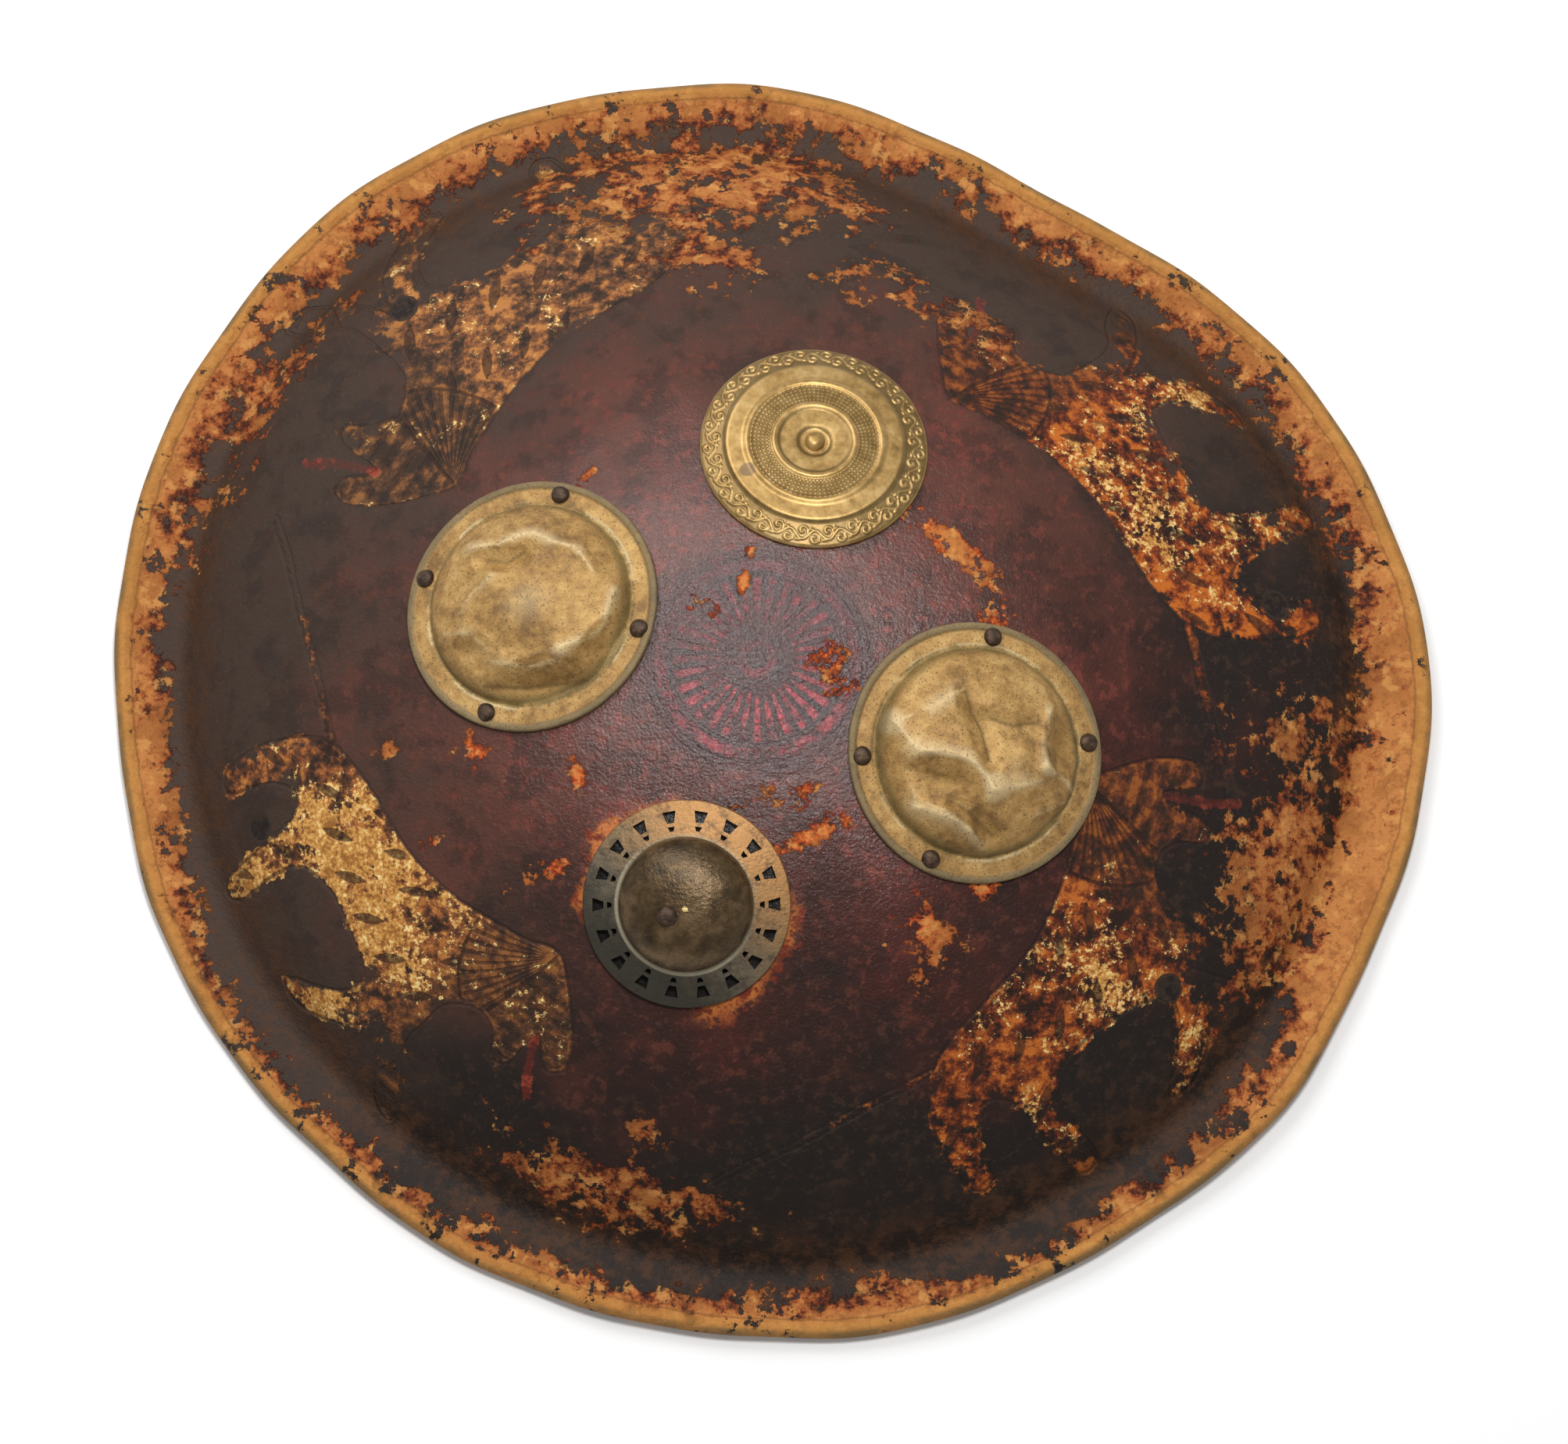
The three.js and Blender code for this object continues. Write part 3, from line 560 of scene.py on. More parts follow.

# Bare hide, from dark red at the edge of the wear through rust to tan, with islands of lacquer
# left in it. Chips near the middle are fresher and more orange. A dark line is painted round inside the
# lip, where the flange meets its bead.
lip_line_start, lip_line_end = 216.2, 216.9
islands = skin.rise(skin.cloud(11, 1, 6, 0.7), 0.11, 0.31, 0, -17)
bare_field = skin.total(skin.kept("worn"), skin.times(patch, 15), skin.times(fleck, 14),
                        skin.times(grain, 2), islands)
bare_share = skin.rise(bare_field, -1, 0.4)
raw = skin.ramp(skin.rise(skin.total(bare_field, skin.times(skin.cloud(9, 1, 5), 8)), -1.5, 14),
                (0, "3A1810"), (0.13, "602A14"), (0.32, "8C4822"), (0.58, "A66432"), (1, "B4753E"))
fresh = skin.ramp(skin.rise(bare_field, -1, 8), (0, "5E1D12"), (0.35, "B24A1C"), (1, "DE8A45"))
raw = skin.over(skin.rise(out, 150, 110, 0, 0.8), raw, fresh)
for size, roughness, start, end, tint in ((2.5, 0.7, 0, 0.25, "7E4A24"),
                                          (18, 0.65, -0.02, 0.22, "8E5628"),
                                          (7, 0.65, 0.08, 0.3, "C98F4E")):
    raw = skin.over(skin.rise(skin.cloud(size, 1, 6, roughness), start, end, 0, 0.6), raw, tint)
raw = skin.over(skin.rise(out, 215, 219, 0, 0.5), raw, "B4823F")
lip_line = skin.band(skin.total(out, skin.times(fleck, 1.2)), lip_line_start, lip_line_end, 0.4)
raw = skin.over(skin.times(lip_line, 0.5), raw, "5E3A1E")
lip_dirt = skin.times(skin.rise(out, 219.5, 221.5), skin.rise(patch, -0.2, 0.2, 0.3, 0.8))
raw = skin.over(lip_dirt, raw, "6E5A3A")
paint = skin.over(bare_share, paint, raw)

# Under the cast boss, where it shows through the openings, the hide is painted near black as painted
# shade, and it has worn to orange beside the boss, above on the left and below on the right.
cast_place = (-23.6, -81.7)
flange_shade_start, flange_shade_end, halo_end = 32.5, 33.5, 35.5
cast_x, cast_y = skin.total(across, -cast_place[0]), skin.total(up, -cast_place[1])
from_cast = skin.away(cast_x, cast_y)
cast_turn = skin.total(skin.maths("ARCTAN2", cast_y, cast_x), -0.9)
beside = skin.maths("ABSOLUTE", skin.maths("SINE", cast_turn))
halo_reach = skin.total(from_cast, skin.times(fleck, 9), skin.times(patch, 9),
                        skin.times(beside, -3.5))
halo = skin.times(skin.rise(halo_reach, flange_shade_start, halo_end, 1, 0), skin.rise(beside, 0.6, 0.85))
paint = skin.over(halo, paint, skin.over(skin.rise(fleck, -0.15, 0.15), "6E2A16", "B5682F"))
# Painted shade: the hide under the cast boss, seen through its openings, is near black.
paint = skin.over(skin.rise(from_cast, flange_shade_start, flange_shade_end, 1, 0), paint, "15110E")

# The lacquer that is left in the valley is rubbed brown.
rubbed = skin.times(skin.band(out, 188, 212, 7),
                    skin.rise(skin.total(patch, fleck), -0.35, 0.3, 0.05, 0.6),
                    skin.maths("SUBTRACT", 1, bare_share))
paint = skin.over(rubbed, paint, "4E321F")

# Pegs: dark filling in a paler ring.
peg = skin.kept("peg_away")
filling = skin.over(skin.rise(fleck, -0.1, 0.2), "1C1513", "33271F")
paint = skin.over(skin.band(peg, 4.4, 5.3, 0.3), paint, "33271F")
paint = skin.over(skin.rise(peg, 4.2, 4.8, 1, 0), paint, filling)

# The inside is plain raw hide, darkened by handling.
rawhide = skin.ramp(skin.total(blotch, skin.times(patch, 0.7), 0.5),
                    (0.2, "6E4A2B"), (0.5, "9C7345"), (0.8, "B78F5C"))
within = skin.kept("inside")
paint = skin.over(within, paint, rawhide)

# The lacquer is glossier towards the crown and bare hide is dull. The relief is a pebbled grain,
# cut by the tooling and lower where the lacquer is gone.
lacquer_roughness, bare_roughness = skin.rise(out, 20, 130, 0.34, 0.6), 0.8
gloss = skin.add("ShaderNodeMix", {0: skin.maths("MAXIMUM", bare_share, within),
                                   2: lacquer_roughness, 3: bare_roughness})
gloss = skin.total(gloss, skin.times(fleck, 0.12))
pebble = skin.total(skin.times(skin.cloud(3.2, 1, 5), 0.6), skin.times(grain, 0.5),
                    skin.times(tooled, -1.1), skin.times(bare_share, -0.6),
                    skin.times(on_tiger, flakes, 0.12),
                    skin.times(skin.total(engraved, petals), -0.15))
grained = skin.relief(skin.times(pebble, skin.rise(out, 20, 90, 1.4, 1)), 0.32)
skin.done(hide, paint, gloss, grained)

# Hands have polished the lacquer on the crown, where it takes a sharper shine.
polished = skin.times(skin.rise(skin.total(out, skin.times(blotch, 30)), 25, 115, 1, 0),
                      skin.maths("SUBTRACT", 1, bare_share))
skin.link(polished, "Coat Weight")
skin.link(grained, "Coat Normal")
skin.shader.inputs["Coat Roughness"].default_value = 0.15
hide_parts("hide_body")
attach(hide, "root")

# The two brass bosses: sheet domes on flat flanges with a turned edge, dented in use and gone
# dull and olive. Each sits on the crown under four rivets.
seat_gap = 0.3
sheet = 1.3
brass_radius = 44.3
brass_dome_radius = 35
brass_dome_rise = 13
left_place, right_place = (-76.8, 21.1), (73.9, -30)

# Dents, each an oval where the sheet has popped in, or out where the depth is negative: its
# middle, its half axes, the turn of its long axis in degrees, and its depth.
left_dents = [(-6, 12.5, 11, 5.5, -8, 2), (6, -29, 18, 8, 8, 4.2), (27, -17, 12, 6, 52, 3.4),
              (-19, 3, 12, 6, 48, 1.8), (-14, -19, 11, 6, -38, 2.2), (3, -4, 17, 13, 20, -1.2),
              (14, 14, 8, 5, 40, 0.8), (-24, -9, 6, 4, 60, 0.8), (20, 3, 7, 4, 80, 0.6)]
right_dents = [(27, 4, 13, 8, 84, 5.5), (-13, -11, 14, 9, -18, 3.4), (0, 6, 13, 7, -30, 1.6),
               (23, -23, 9, 5, 40, 2.4), (-26, 8, 10, 6, 62, 1.6), (2, -27, 10, 5, -50, 2.2),
               (9, -6, 11, 8, 30, -1), (12, 20, 9, 4, -30, 0.8), (-24, -14, 7, 4, -50, 0.9)]

# Folds, each a sharp ridge along a line, or a sharp valley where the height is negative: its
# height, its half width and the line.
left_folds = [(1.8, 5, [(-18, 17.5), (-7.2, 16.5), (-1.3, 19.5), (4.6, 20.4), (10.5, 17), (18, 15)]),
              (-1.5, 5, [(-12, 12.5), (-5, 11.5), (1, 14)]), (1.3, 5, [(-21, -5), (-16, 0.6), (-9, 6)]),
              (1.6, 4.5, [(31, 1), (28, -11), (22, -16), (13.4, -19)]),
              (1.3, 5, [(-27, -11), (-17, -12), (-13, -16), (-9, -20)]),
              (1.2, 5, [(-10, -22), (2, -24.5), (14, -22.5)]), (0.7, 3, [(20, 13), (24, 7)]),
              (-0.8, 4, [(-14, -29), (0, -30), (14, -29)])]
right_folds = [(2, 7, [(-30, 8), (-23, -1.3), (-7.7, -3.9), (-4.1, -5.7), (1.4, -13.5)]),
               (-2.2, 5, [(-6.8, 18), (-5, 11.8), (-1.4, 5.7), (0.5, -3.9)]),
               (1.6, 7, [(-30, 8), (-18, 13), (-8, 19)]),
               (-1.6, 5, [(1.4, 9.6), (8.6, 7.4), (17.7, 9.2)]),
               (2, 5, [(21.4, 13), (20.9, 4.8), (20.5, -4)]),
               (1.4, 3, [(20.5, -5.7), (26.8, -8.3), (34, -13.5)]),
               (1.2, 5, [(17.7, -10), (7.7, -12.6), (1.4, -13.5)]),
               (1.8, 6, [(-24, -13.5), (-23, -19.6), (-10.5, -23), (2.3, -31)]),
               (-1.8, 5, [(-8.6, -18.5), (-3, -22.5), (4, -28)]),
               (1, 3, [(17, -21), (23, -19), (30, -16)])]
fold_edge = 1  # how far from its line a fold's edge is painted: a painted highlight on a ridge, painted shade in a valley


def dome_height(radius, dome_reach, rise):
    """Height of a rounded dome over its base: full at the middle, steep at its foot."""
    fullness, steepness = 2.4, 0.6
    return rise * np.maximum(0, 1 - (radius / dome_reach) ** fullness) ** steepness


def dent_depth(dents, x, y):
    """How far the sheet has popped in."""
    curve = 1.4
    depth = np.zeros_like(x)
    plan = np.stack([x, y], axis=1)
    for middle_x, middle_y, long, short, degrees, deep in dents:
        share = oval_share(plan, (middle_x, middle_y), (long, short), degrees)
        depth += deep * np.maximum(0, 1 - share ** curve)
    return depth


def fold_height(folds, x, y):
    """How far the folds stand up from the sheet, and their sharp edges: ridges, then valleys."""
    height, ridge, valley = (np.zeros_like(x) for _ in range(3))
    for rise, width, line in folds:
        away, _ = line_distance(x, y, np.array(line, float), False)
        height += rise * np.maximum(0, 1 - away / width)
        edge = ridge if rise > 0 else valley
        np.maximum(edge, 1 - away / fold_edge, out=edge)
    return height, ridge, valley


def crown_turn(place):
    """The turn that leans +Z out to a place on the crown."""
    stands = math.sqrt(crown_radius ** 2 - place[0] ** 2 - place[1] ** 2)
    return Vector((0, 0, 1)).rotation_difference(Vector((*place, stands)).normalized())


def lay_on_crown(piece, place, own=(0, 0)):
    """Bends a piece made over a plane to the crown at a boss's place, or at its own on the boss."""
    spots = places(piece)
    radius = np.maximum(np.hypot(spots[:, 0], spots[:, 1]), 1e-6)
    standing = crown_radius + spots[:, 2]
    spread = standing * np.sin(radius / crown_radius) / radius
    spots = np.stack([spots[:, 0] * spread, spots[:, 1] * spread,
                      standing * np.cos(radius / crown_radius)], axis=1)
    for lean in (crown_turn(own), crown_turn(place)):
        spots = spots @ np.array(lean.to_matrix()).T
    move(piece, spots + np.array([*dome_axis, crown_up]))


def brass_boss(name, place, dents, folds):
    """One dented boss, with its radius and the depth of its dents noted for the finish."""
    edge, edge_rise, foot_width, foot_depth = 1.4, 0.7, 0.8, 0.35
    warp_rise, warp_count, warp_start = 0.25, 3, 9
    edge_start = brass_radius - 2 * edge
    outline = [(radius, sheet + seat_gap)
               for radius in spaced(0, edge_start, 0.5) + spaced(edge_start, brass_radius, 0.35)]
    outline += [(brass_radius, seat_gap + sheet / 2), (brass_radius - 0.2, seat_gap)]
    outline += [(radius, seat_gap) for radius in spaced(0, brass_radius - 0.4, 2)[::-1]]
    boss = turned(name, outline, steps=280)
    spots = places(boss)
    x, y = spots[:, 0], spots[:, 1]
    radius = np.hypot(x, y)
    dome = dome_height(radius, brass_dome_radius, brass_dome_rise)
    height, ridge, valley = fold_height(folds, x, y)
    dent = dent_depth(dents, x, y) - height
    lifted = np.where(dome > 0, np.maximum(0, dome - dent), 0)
    upper = spots[:, 2] > seat_gap + 0.1
    turned_edge = edge_rise * np.sqrt(np.maximum(0, 1 - ((radius - brass_radius + edge) / edge) ** 2))
    in_foot = np.clip((radius - brass_dome_radius) / foot_width - 1, -1, 1)
    foot = foot_depth * (1 + np.cos(math.pi * in_foot)) / 2
    warp = warp_rise * np.sin(warp_count * np.arctan2(y, x) + warp_start)
    warp *= eased(radius, brass_dome_radius, brass_radius)
    spots[:, 2] += lifted + (turned_edge - foot) * upper + np.maximum(warp, 0) * eased(radius, 38, 44)
    move(boss, spots)
    note(boss, "radius", radius)
    for name, values in (("dent", dent), ("ridge", ridge), ("valley", valley)):
        note(boss, name, np.where(dome > 0, values, 0))
    lay_on_crown(boss, place)
    return boss


brass = Finish("boss_brass", metallic=0.35)
radius = brass.kept("radius")
blotch = brass.cloud(22, 1, 4)
mottle = brass.cloud(5, 1, 6, 0.7)
speck = brass.cloud(0.8, 1, 3)
dent = brass.kept("dent")
metal = brass.ramp(brass.total(brass.times(blotch, 0.5), brass.times(mottle, 0.8), 0.5),
                   (0.15, "7A5A30"), (0.5, "A57F47"), (0.85, "C09C60"))
# Painted highlight along the ridges of the folds.
ridge_highlight = brass.times(brass.kept("ridge"), brass.rise(mottle, -0.25, 0.2, 0, 0.6))
# Painted shade round the foot of the dome.
foot = brass.band(brass.total(radius, brass.times(mottle, 3)), 33, 36.2, 1.2)
rim = brass.rise(brass.total(radius, brass.times(mottle, 2)), 40.8, 42.4)
# Painted highlight: a pale line just outside the foot of the dome.
foot_line = brass.times(brass.band(brass.total(radius, mottle), 36.2, 37, 0.4),
                        brass.rise(blotch, -0.1, 0.15, 0, 0.5))
# Painted shade where the sheet has popped in, and a painted highlight where it has popped out.
for share, tint in ((brass.rise(dent, 0.5, 5, 0, 0.35), "8A6A2E"),
                    (brass.rise(dent, -0.4, -2, 0, 0.6), "D2BC90"),
                    (ridge_highlight, "D3BE90"),
                    # Painted shade along the valleys of the folds.
                    (brass.times(brass.kept("valley"), 0.7), "5A441F"),
                    (brass.times(foot, 0.55), "5F5A35"),
                    (brass.times(rim, 0.7), "66604A"),
                    (foot_line, "CFC49C"),
                    (brass.rise(speck, 0.17, 0.33, 0, 0.7), "564423")):
    metal = brass.over(share, metal, tint)
wear = brass.relief(brass.total(brass.times(mottle, 0.5), brass.times(speck, 0.5)), 0.16)
roughness = brass.maths("MULTIPLY_ADD", brass.total(mottle, brass.times(rim, 0.6)), 0.14, 0.6)
for name, place, dents, folds in (("boss_left", left_place, left_dents, left_folds),
                                  ("boss_right", right_place, right_dents, right_folds)):
    boss = brass_boss(f"brass_{name}", place, dents, folds)
    brass.done(boss, metal, roughness, wear)
    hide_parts(name)
    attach(boss, "root")

# The rivets: iron, four to a brass boss. Each has a low round head, hammered a little out of
# round, over the flange, and a shank through sheet and hide that is clenched flat inside.
rivet_head, rivet_rise, rivet_shank, rivet_tail, tail_thickness = 3.15, 2.1, 1.4, 2.7, 1.1
rivet_seat = 2 * seat_gap + sheet
rivet_circle = (brass_dome_radius + brass_radius) / 2


def rivet(name, place, own, seat, head, rise):
    """One rivet with a hammered head, from its seat on the boss to its tail inside the hide."""
    tail = -hide_thickness - seat_gap
    angles = np.linspace(0, math.pi / 2, 9)
    outline = [(head * math.sin(angle), seat + rise * math.cos(angle)) for angle in angles]
    outline += [(head - 0.3, seat), (rivet_shank, seat), (rivet_shank, tail),
                (rivet_tail - 0.3, tail), (rivet_tail, tail - tail_thickness / 2),
                (rivet_tail - 0.5, tail - tail_thickness), (0, tail - tail_thickness)]
    piece = turned(name, outline, steps=32)
    spots = places(piece)
    turn = np.arctan2(spots[:, 1], spots[:, 0])
    bulge = 1 + 0.04 * np.sin(2 * turn + own[0]) + 0.03 * np.sin(3 * turn + own[1])
    spots[:, :2] *= np.where(spots[:, 2] > seat + 0.2, bulge, 1)[:, None]
    hammered_above = seat + rise * 0.86
    spots[:, 2] -= np.maximum(0, spots[:, 2] - hammered_above) * 0.6
    move(piece, spots)
    lay_on_crown(piece, place, own)
    return piece


def round_boss(out, degrees):
    """A place some way out along a boss, at an angle round it."""
    reach_out = crown_radius * math.sin(out / crown_radius)
    return reach_out * math.cos(math.radians(degrees)), reach_out * math.sin(math.radians(degrees))


iron = Finish("rivet_iron", metallic=0.6)
rust = iron.cloud(2, 1, 5)
rusted = iron.ramp(iron.total(rust, 0.5), (0.1, "30251C"), (0.5, "483629"), (0.9, "64503E"))
hammered = iron.relief(iron.cloud(1.4, 1, 4), 0.14)
rivet_angles = {"boss_left": (left_place, (76, 162, 248, 344)),
                "boss_right": (right_place, (7, 82, 184, 247))}
for boss_name, (place, angles) in rivet_angles.items():
    for count, degrees in enumerate(angles, 1):
        piece = rivet(f"iron_{boss_name}_rivet_{count}", place, round_boss(rivet_circle, degrees),
                      rivet_seat, rivet_head, rivet_rise)
        iron.done(piece, rusted, iron.maths("MULTIPLY_ADD", rust, 0.3, 0.55), hammered)
        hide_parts(f"{boss_name}_rivet_{count}")
        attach(piece, "root")

# The top boss: a disc of stamped brass sheet, a later replacement, with a border of scrolls and
# two raised rings round a dotted ground. One brass nail through its middle holds it.
disc_place = (19.3, 76.6)
disc_radius = 39
# The disc's section over the hide, from the middle to the edge, and its underside's back again.
disc_rings = [(0, 2.6), (5, 2.6), (6.0, 3.4), (7, 3.6), (12.2, 3.9), (12.9, 4.6), (13.7, 4.9),
              (14.5, 4.5), (15.2, 3.9), (21.4, 3.9), (22.1, 4.6), (22.9, 4.9), (23.7, 4.5), (24.5, 4.1),
              (29.8, 4.2), (30.6, 3.5), (31.2, 3.2), (38.2, 1.7), (38.9, 1.2)]
disc_underside = [(31, 1.9), (20, 2.6), (5, 1.3), (0, 1.3)]
border_start, border_reach, border_end = 31, 35, 38.4
# The scrolls of one repeat: how far along it, reach, size and the hand they are wound to.
scroll_count = 25
scrolls = [(0.25, 33.7, 2.1, 1), (0.72, 36.0, 2.0, -1), (0.62, 32.6, 1.1, 1), (0.1, 37.2, 1.0, -1)]
scroll_turn, scroll_height = 3.2, 0.55
vine_reach, vine_swing, vine_half_width = 34.9, 1.5, 0.5
bead_count, bead_pitch = 80, 1.35


def disc_height(radius):
    """Height of the disc's upper side over the hide."""
    return np.interp(radius, *zip(*disc_rings))


outline = [(radius, float(disc_height(radius))) for radius in
           spaced(0, 30, 0.6) + spaced(30, disc_radius, 0.3)]
outline += [(disc_radius, seat_gap + 0.5), (disc_radius - 0.2, seat_gap), *disc_underside]
disc = turned("stamped_disc", outline, steps=500)
spots = places(disc)
radius = np.hypot(spots[:, 0], spots[:, 1])
turn = np.arctan2(spots[:, 1], spots[:, 0])
upper = spots[:, 2] > disc_height(radius) - 0.3
pitch = 2 * math.pi * border_reach / scroll_count
cell = (turn * scroll_count / (2 * math.pi)) % 1
scroll = np.zeros_like(radius)
for middle, out, size, hand in scrolls:
    dx = (cell - middle) * pitch
    dy = radius - out
    away = np.hypot(dx, dy)
    wound = np.cos(np.arctan2(dy, dx) * hand - away * scroll_turn)
    scroll = np.maximum(scroll, np.maximum(0, wound) * (1 - eased(away, size * 0.8, size)))
vine_away = np.abs(radius - vine_reach - vine_swing * np.sin(cell * 2 * math.pi))
scroll = np.maximum(scroll, np.clip(1 - vine_away / vine_half_width, 0, 1) * 0.8)
border = (eased(radius, border_start, border_start + 0.6) * (1 - eased(radius, 38, border_end + 0.1))
          * upper)
spots[:, 2] += scroll_height * scroll * border
move(disc, spots)
for name, values in (("radius", radius), ("scroll", scroll * border + 2 * ~upper),
                     ("disc_x", spots[:, 0]), ("disc_y", spots[:, 1])):
    note(disc, name, values)
lay_on_crown(disc, disc_place)

stamped = Finish("stamped_brass", metallic=0.7)
radius = stamped.kept("radius")
disc_x, disc_y = stamped.kept("disc_x"), stamped.kept("disc_y")
mottle = stamped.cloud(4, 1, 5, 0.65)
ground = stamped.band(radius, 15, 21.6, 0.3)
turn = stamped.maths("ARCTAN2", disc_y, disc_x)
lattice = stamped.total(stamped.maths("COSINE", stamped.times(turn, bead_count)),
                        stamped.maths("COSINE", stamped.times(radius, 2 * math.pi / bead_pitch)))
beads = stamped.rise(lattice, -0.3, 0.9)
between_beads = stamped.times(stamped.maths("SUBTRACT", 1, beads), ground, 0.6)
low_border = stamped.times(stamped.band(radius, border_start, border_end, 0.2),
                           stamped.rise(stamped.kept("scroll"), 0.05, 0.5, 1, 0), 0.6)
stain_x, stain_y = stamped.total(disc_x, 22.6), stamped.total(disc_y, 11.5)
stain = stamped.total(stamped.times(stain_x, stain_x), stamped.times(stain_y, stain_y),
                      stamped.times(mottle, 4))
grime = stamped.total(stamped.band(radius, 5, 6.4, 0.4), stamped.band(radius, 11.6, 12.6, 0.3),
                      stamped.band(radius, 29.8, 31.2, 0.4))
metal = stamped.ramp(stamped.total(stamped.times(mottle, 0.5), stamped.cloud(20, 0.3), 0.5),
                     (0.2, "8A6C3C"), (0.5, "AE8C54"), (0.85, "C9AA74"))
for share, tint in ((between_beads, "5A4A28"), (low_border, "4E4026"),
                    (stamped.rise(stain, 5, 9, 0.7, 0), "6A5848"),
                    (stamped.times(grime, 0.6), "5A4A28")):
    metal = stamped.over(share, metal, tint)
texture = stamped.total(stamped.times(beads, ground, 0.9), stamped.times(mottle, 0.2))
roughness = stamped.maths("MULTIPLY_ADD", mottle, 0.14, 0.42)
stamped_relief = stamped.relief(texture, 0.3)
stamped.done(disc, metal, roughness, stamped_relief)
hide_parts("boss_top_disc")
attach(disc, "root")

# The nail takes the disc's finish, as at a plain place on the disc outside its rings and stain.
nail_head, nail_rise = 3.4, 2.6
nail = rivet("brass_nail", disc_place, (0, 0), float(disc_height(0)) + seat_gap, nail_head, nail_rise)
for name, value in (("radius", 9), ("scroll", 1), ("disc_x", 9), ("disc_y", 0)):
    note(nail, name, np.full(len(nail.data.vertices), value))
stamped.done(nail, metal, roughness, stamped_relief)
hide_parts("disc_nail")
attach(nail, "root")

# The bottom boss: cast bronze, a dome on a coned flange with two rows of pierced openings, held
# by one rivet through the dome, a little off its middle.
cast = 1.7
cast_radius = 35
cast_dome_radius = 22.4
cast_dome_rise = 11
cone_rise = 2.2
# The openings of each row: their reach, their widths inside and outside, and their height.
pierced_count = 18
pierced_rows = [(29.4, 2.4, 4.6, 3.9), (25.4, 1.2, 2.4, 1.6)]
pierce_depth = 20
# Where the dome has one painted highlight, and the way to the side whose flange is warmer in colour and
# lighter as painted light, with painted shade on the side opposite.
bright_spot = (0.9, -0.3)
lit_warm_way = (0.6, 0.8)


def cast_height(radius):
    """Height of the cast boss's inner skin over the hide."""
    up_cone = np.clip((cast_radius - radius) / (cast_radius - cast_dome_radius), 0, 1)
    return seat_gap + cone_rise * up_cone + dome_height(radius, cast_dome_radius, cast_dome_rise)


lining = cast_dome_radius - cast
foot_start, foot_end = cast_dome_radius - 2, cast_dome_radius + 0.5
outline = [(radius, float(cast_height(radius)) + cast) for radius in
           spaced(0, foot_start, 0.9) + spaced(foot_start, foot_end, 0.3)
           + spaced(foot_end, cast_radius - 1, 1.2)]
outline += [(cast_radius - 0.4, seat_gap + cast), (cast_radius, seat_gap + cast / 2),
            (cast_radius - 0.3, seat_gap), (cast_radius - cast, seat_gap)]
outline += [(radius, float(cast_height(radius / lining * cast_dome_radius)))
            for radius in [lining, *spaced(0, lining, 2)[::-1]]]
cast_boss = turned("cast_boss", outline, steps=160)
bpy.ops.object.select_all(action="DESELECT")
cutters = []
for out, inner, outer, height in pierced_rows:
    for count in range(pierced_count):
        turn = 2 * math.pi * count / pierced_count
        bpy.ops.mesh.primitive_cube_add(size=1, location=(0, 0, 0))
        cutter = bpy.context.object
        corners = places(cutter) * MM
        width = np.where(corners[:, 0] > 0, outer, inner)
        x = out + corners[:, 0] * height
        y = corners[:, 1] * width
        move(cutter, np.stack([x * math.cos(turn) - y * math.sin(turn),
                               x * math.sin(turn) + y * math.cos(turn),
                               corners[:, 2] * pierce_depth], axis=1))
        cutters.append(cutter)
for cutter in cutters:
    cutter.select_set(True)
bpy.context.view_layer.objects.active = cutters[0]
bpy.ops.object.join()
openings = bpy.context.object
openings.select_set(False)
pierce = cast_boss.modifiers.new("openings", "BOOLEAN")
pierce.operation = "DIFFERENCE"
pierce.object = openings
pierce.solver = "EXACT"
bpy.context.view_layer.objects.active = cast_boss
bpy.ops.object.modifier_apply(modifier="openings")
bpy.data.objects.remove(openings)
cast_boss.select_set(True)
bpy.ops.object.shade_smooth_by_angle(angle=math.radians(35))
cast_boss.select_set(False)
spots = places(cast_boss)
x, y = spots[:, 0], spots[:, 1]
for name, values in (("radius", np.hypot(x, y)),
                     ("lit_warm_side", x * lit_warm_way[0] + y * lit_warm_way[1]),
                     ("from_spot", np.hypot(x - bright_spot[0], y - bright_spot[1]))):
    note(cast_boss, name, values)
lay_on_crown(cast_boss, cast_place)

bronze = Finish("dark_bronze", metallic=0.6)
radius = bronze.kept("radius")
mottle = bronze.cloud(6, 1, 6, 0.7)
speck = bronze.cloud(1.2, 1, 4)
flange = bronze.rise(radius, 22, 24)
# The flange is warmer in colour towards one side, and lighter there as painted light, darker opposite
# as painted shade.
side = bronze.rise(bronze.total(bronze.kept("lit_warm_side"), bronze.times(mottle, 16)), -26, 26)
patina_and_painted_light = bronze.ramp(side, (0, "3E3B31"), (0.3, "6A5F4E"), (0.65, "846C4E"), (1, "A57A4B"))
patina_and_painted_light = bronze.over(bronze.rise(bronze.cloud(4, 1, 5, 0.7), -0.05, 0.3, 0, 0.6), patina_and_painted_light, "3E342A")
dark = bronze.ramp(bronze.total(bronze.times(mottle, 0.6), bronze.cloud(24, 0.35), 0.5),
                   (0.2, "362A1B"), (0.5, "524028"), (0.8, "735C40"))
foot_line = bronze.times(bronze.band(radius, 22, 23.6, 0.4), bronze.rise(side, 0.8, 0.2, 0.15, 0.8))
# Painted highlight: one bright spot on the dome.
painted_glint = bronze.rise(bronze.total(bronze.kept("from_spot"), mottle), 1.1, 0.8)
for share, tint in ((flange, patina_and_painted_light), (foot_line, "B0A78E"),
                    (bronze.rise(speck, 0.3, 0.6, 0, 0.5), "2E2418"), (painted_glint, "E6C888")):
    dark = bronze.over(share, dark, tint)
roughness = bronze.maths("MULTIPLY_ADD", bronze.total(bronze.times(mottle, 0.5), flange), 0.22, 0.3)
bronze.done(cast_boss, dark, roughness, bronze.relief(bronze.total(mottle, speck), 0.12))
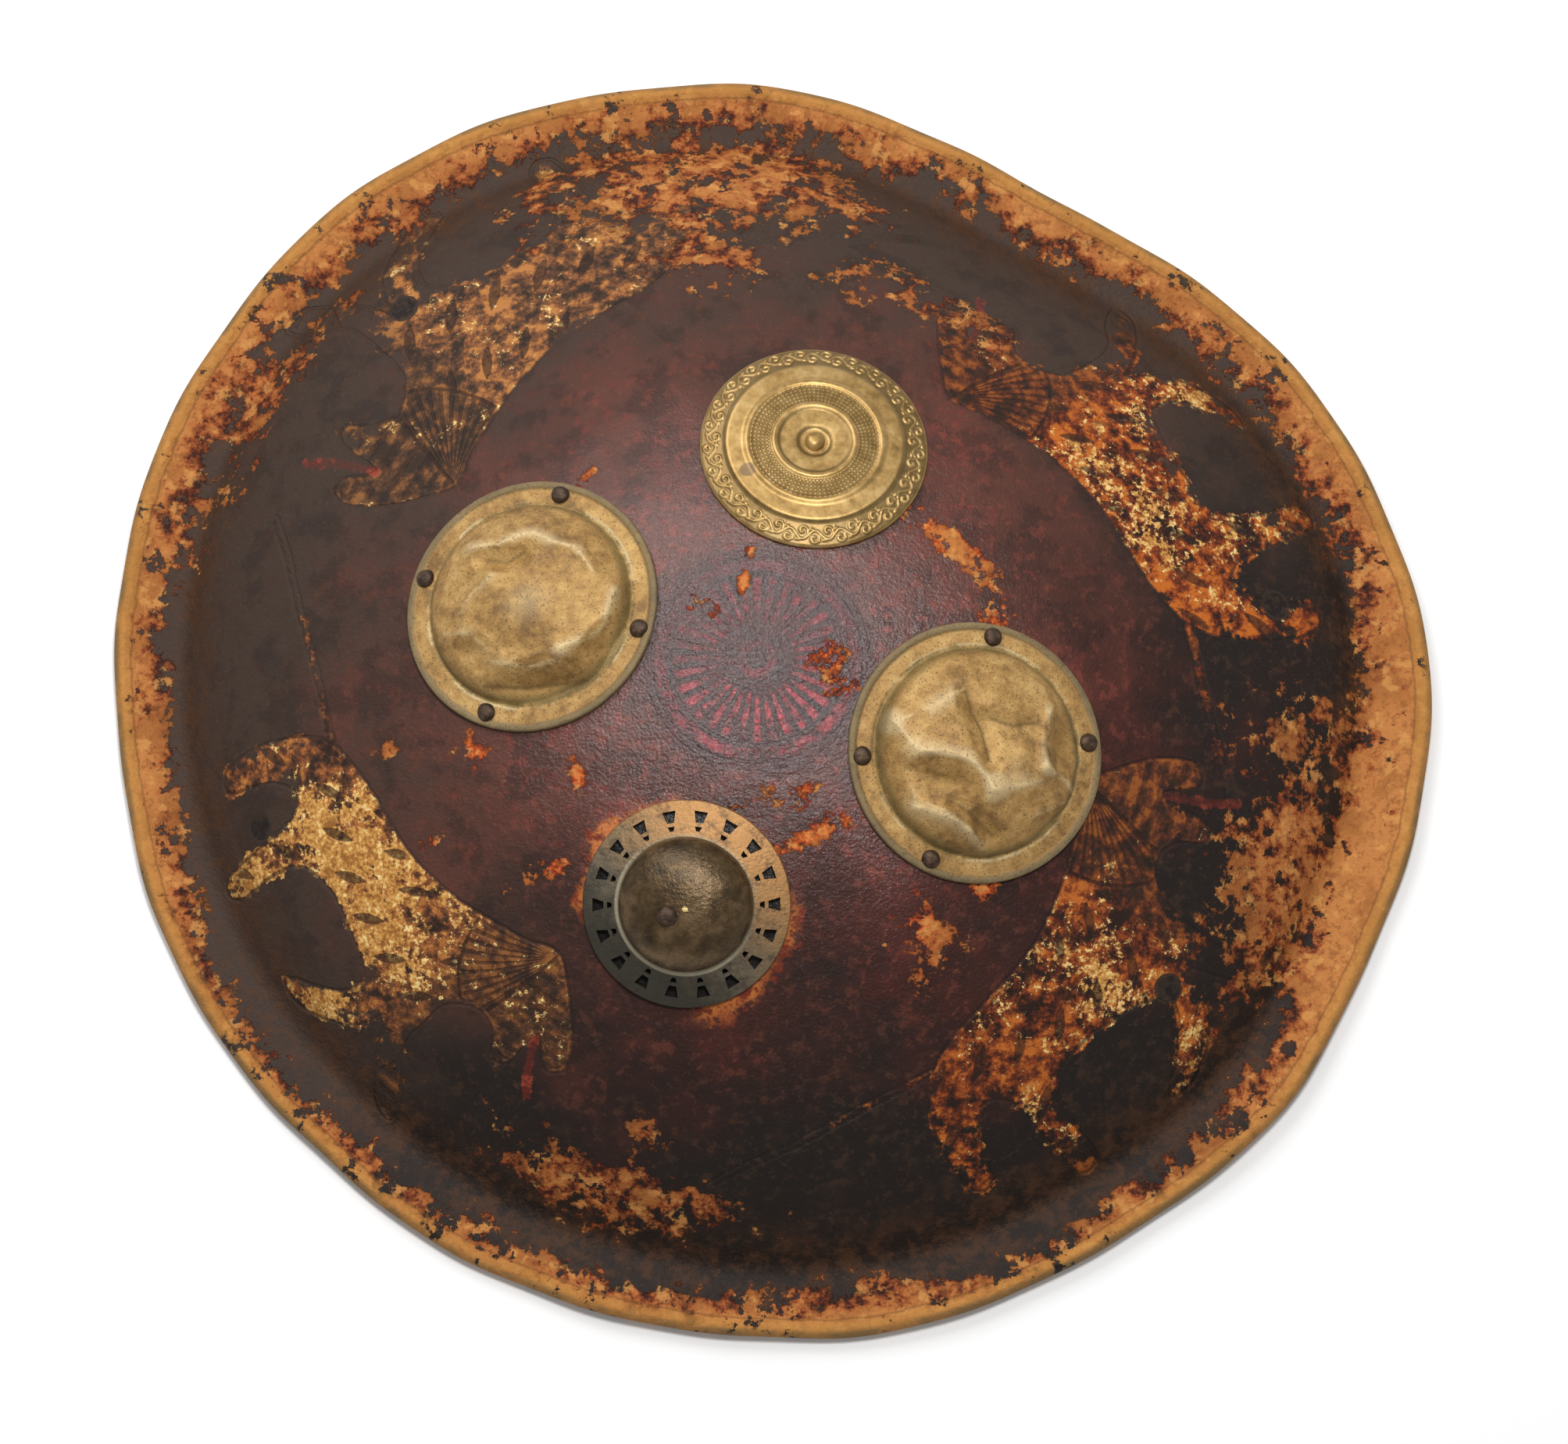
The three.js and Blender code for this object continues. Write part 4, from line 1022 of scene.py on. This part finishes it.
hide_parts("boss_bottom_pierced")
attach(cast_boss, "root")

cast_rivet_out, cast_rivet_degrees = 5.4, 207
cast_rivet_seat = float(cast_height(cast_rivet_out - rivet_head)) + cast + seat_gap
piece = rivet("iron_bottom_rivet", cast_place, round_boss(cast_rivet_out, cast_rivet_degrees),
              cast_rivet_seat, rivet_head, rivet_rise)
iron.done(piece, rusted, iron.maths("MULTIPLY_ADD", rust, 0.3, 0.55), hammered)
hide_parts("boss_bottom_rivet")
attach(piece, "root")

# The studio: a pale floor, a small soft light almost overhead, a larger one behind the shield as
# through a window, and white all round. The camera looks down on it a little from below.
bpy.ops.mesh.primitive_plane_add(size=6, location=(0, 0, 0))
floor = bpy.context.object
floor.name = "studio_floor"
pale = Finish("pale_floor")
pale.shader.inputs["Roughness"].default_value = 0.9
pale.done(floor, pale.over(pale.cloud(400, 0.2), "F2F2F2", "F6F6F6"))
bpy.ops.object.select_all(action="DESELECT")

world = bpy.data.worlds.new("white_room")
world.use_nodes = True
world.node_tree.nodes["Background"].inputs["Color"].default_value = (1, 1, 1, 1)
world.node_tree.nodes["Background"].inputs["Strength"].default_value = 0.38
bpy.context.scene.world = world
bpy.ops.object.light_add(type="AREA", location=(0.13, 0.23, 1.55))
light = bpy.context.object
light.name = "soft_light"
light.data.shape = "DISK"
light.data.size = 0.35
light.data.energy = 15
light.rotation_euler = (Vector((0, 0, 0.08)) - light.location).to_track_quat("-Z", "Y").to_euler()
bpy.ops.object.light_add(type="AREA", location=(-0.7, 1.1, 1.3))
fill = bpy.context.object
fill.name = "window_fill"
fill.data.size = 0.9
fill.data.energy = 16
fill.rotation_euler = (Vector((0, 0, 0.05)) - fill.location).to_track_quat("-Z", "Y").to_euler()

bpy.ops.object.camera_add(location=(0.00405, -0.44070, 1.95129), rotation=(math.radians(12.5), 0, 0))
camera = bpy.context.object
camera.data.sensor_width = 36
camera.data.lens = 131.1
bpy.context.scene.camera = camera
bpy.context.scene.view_settings.view_transform = "Standard"
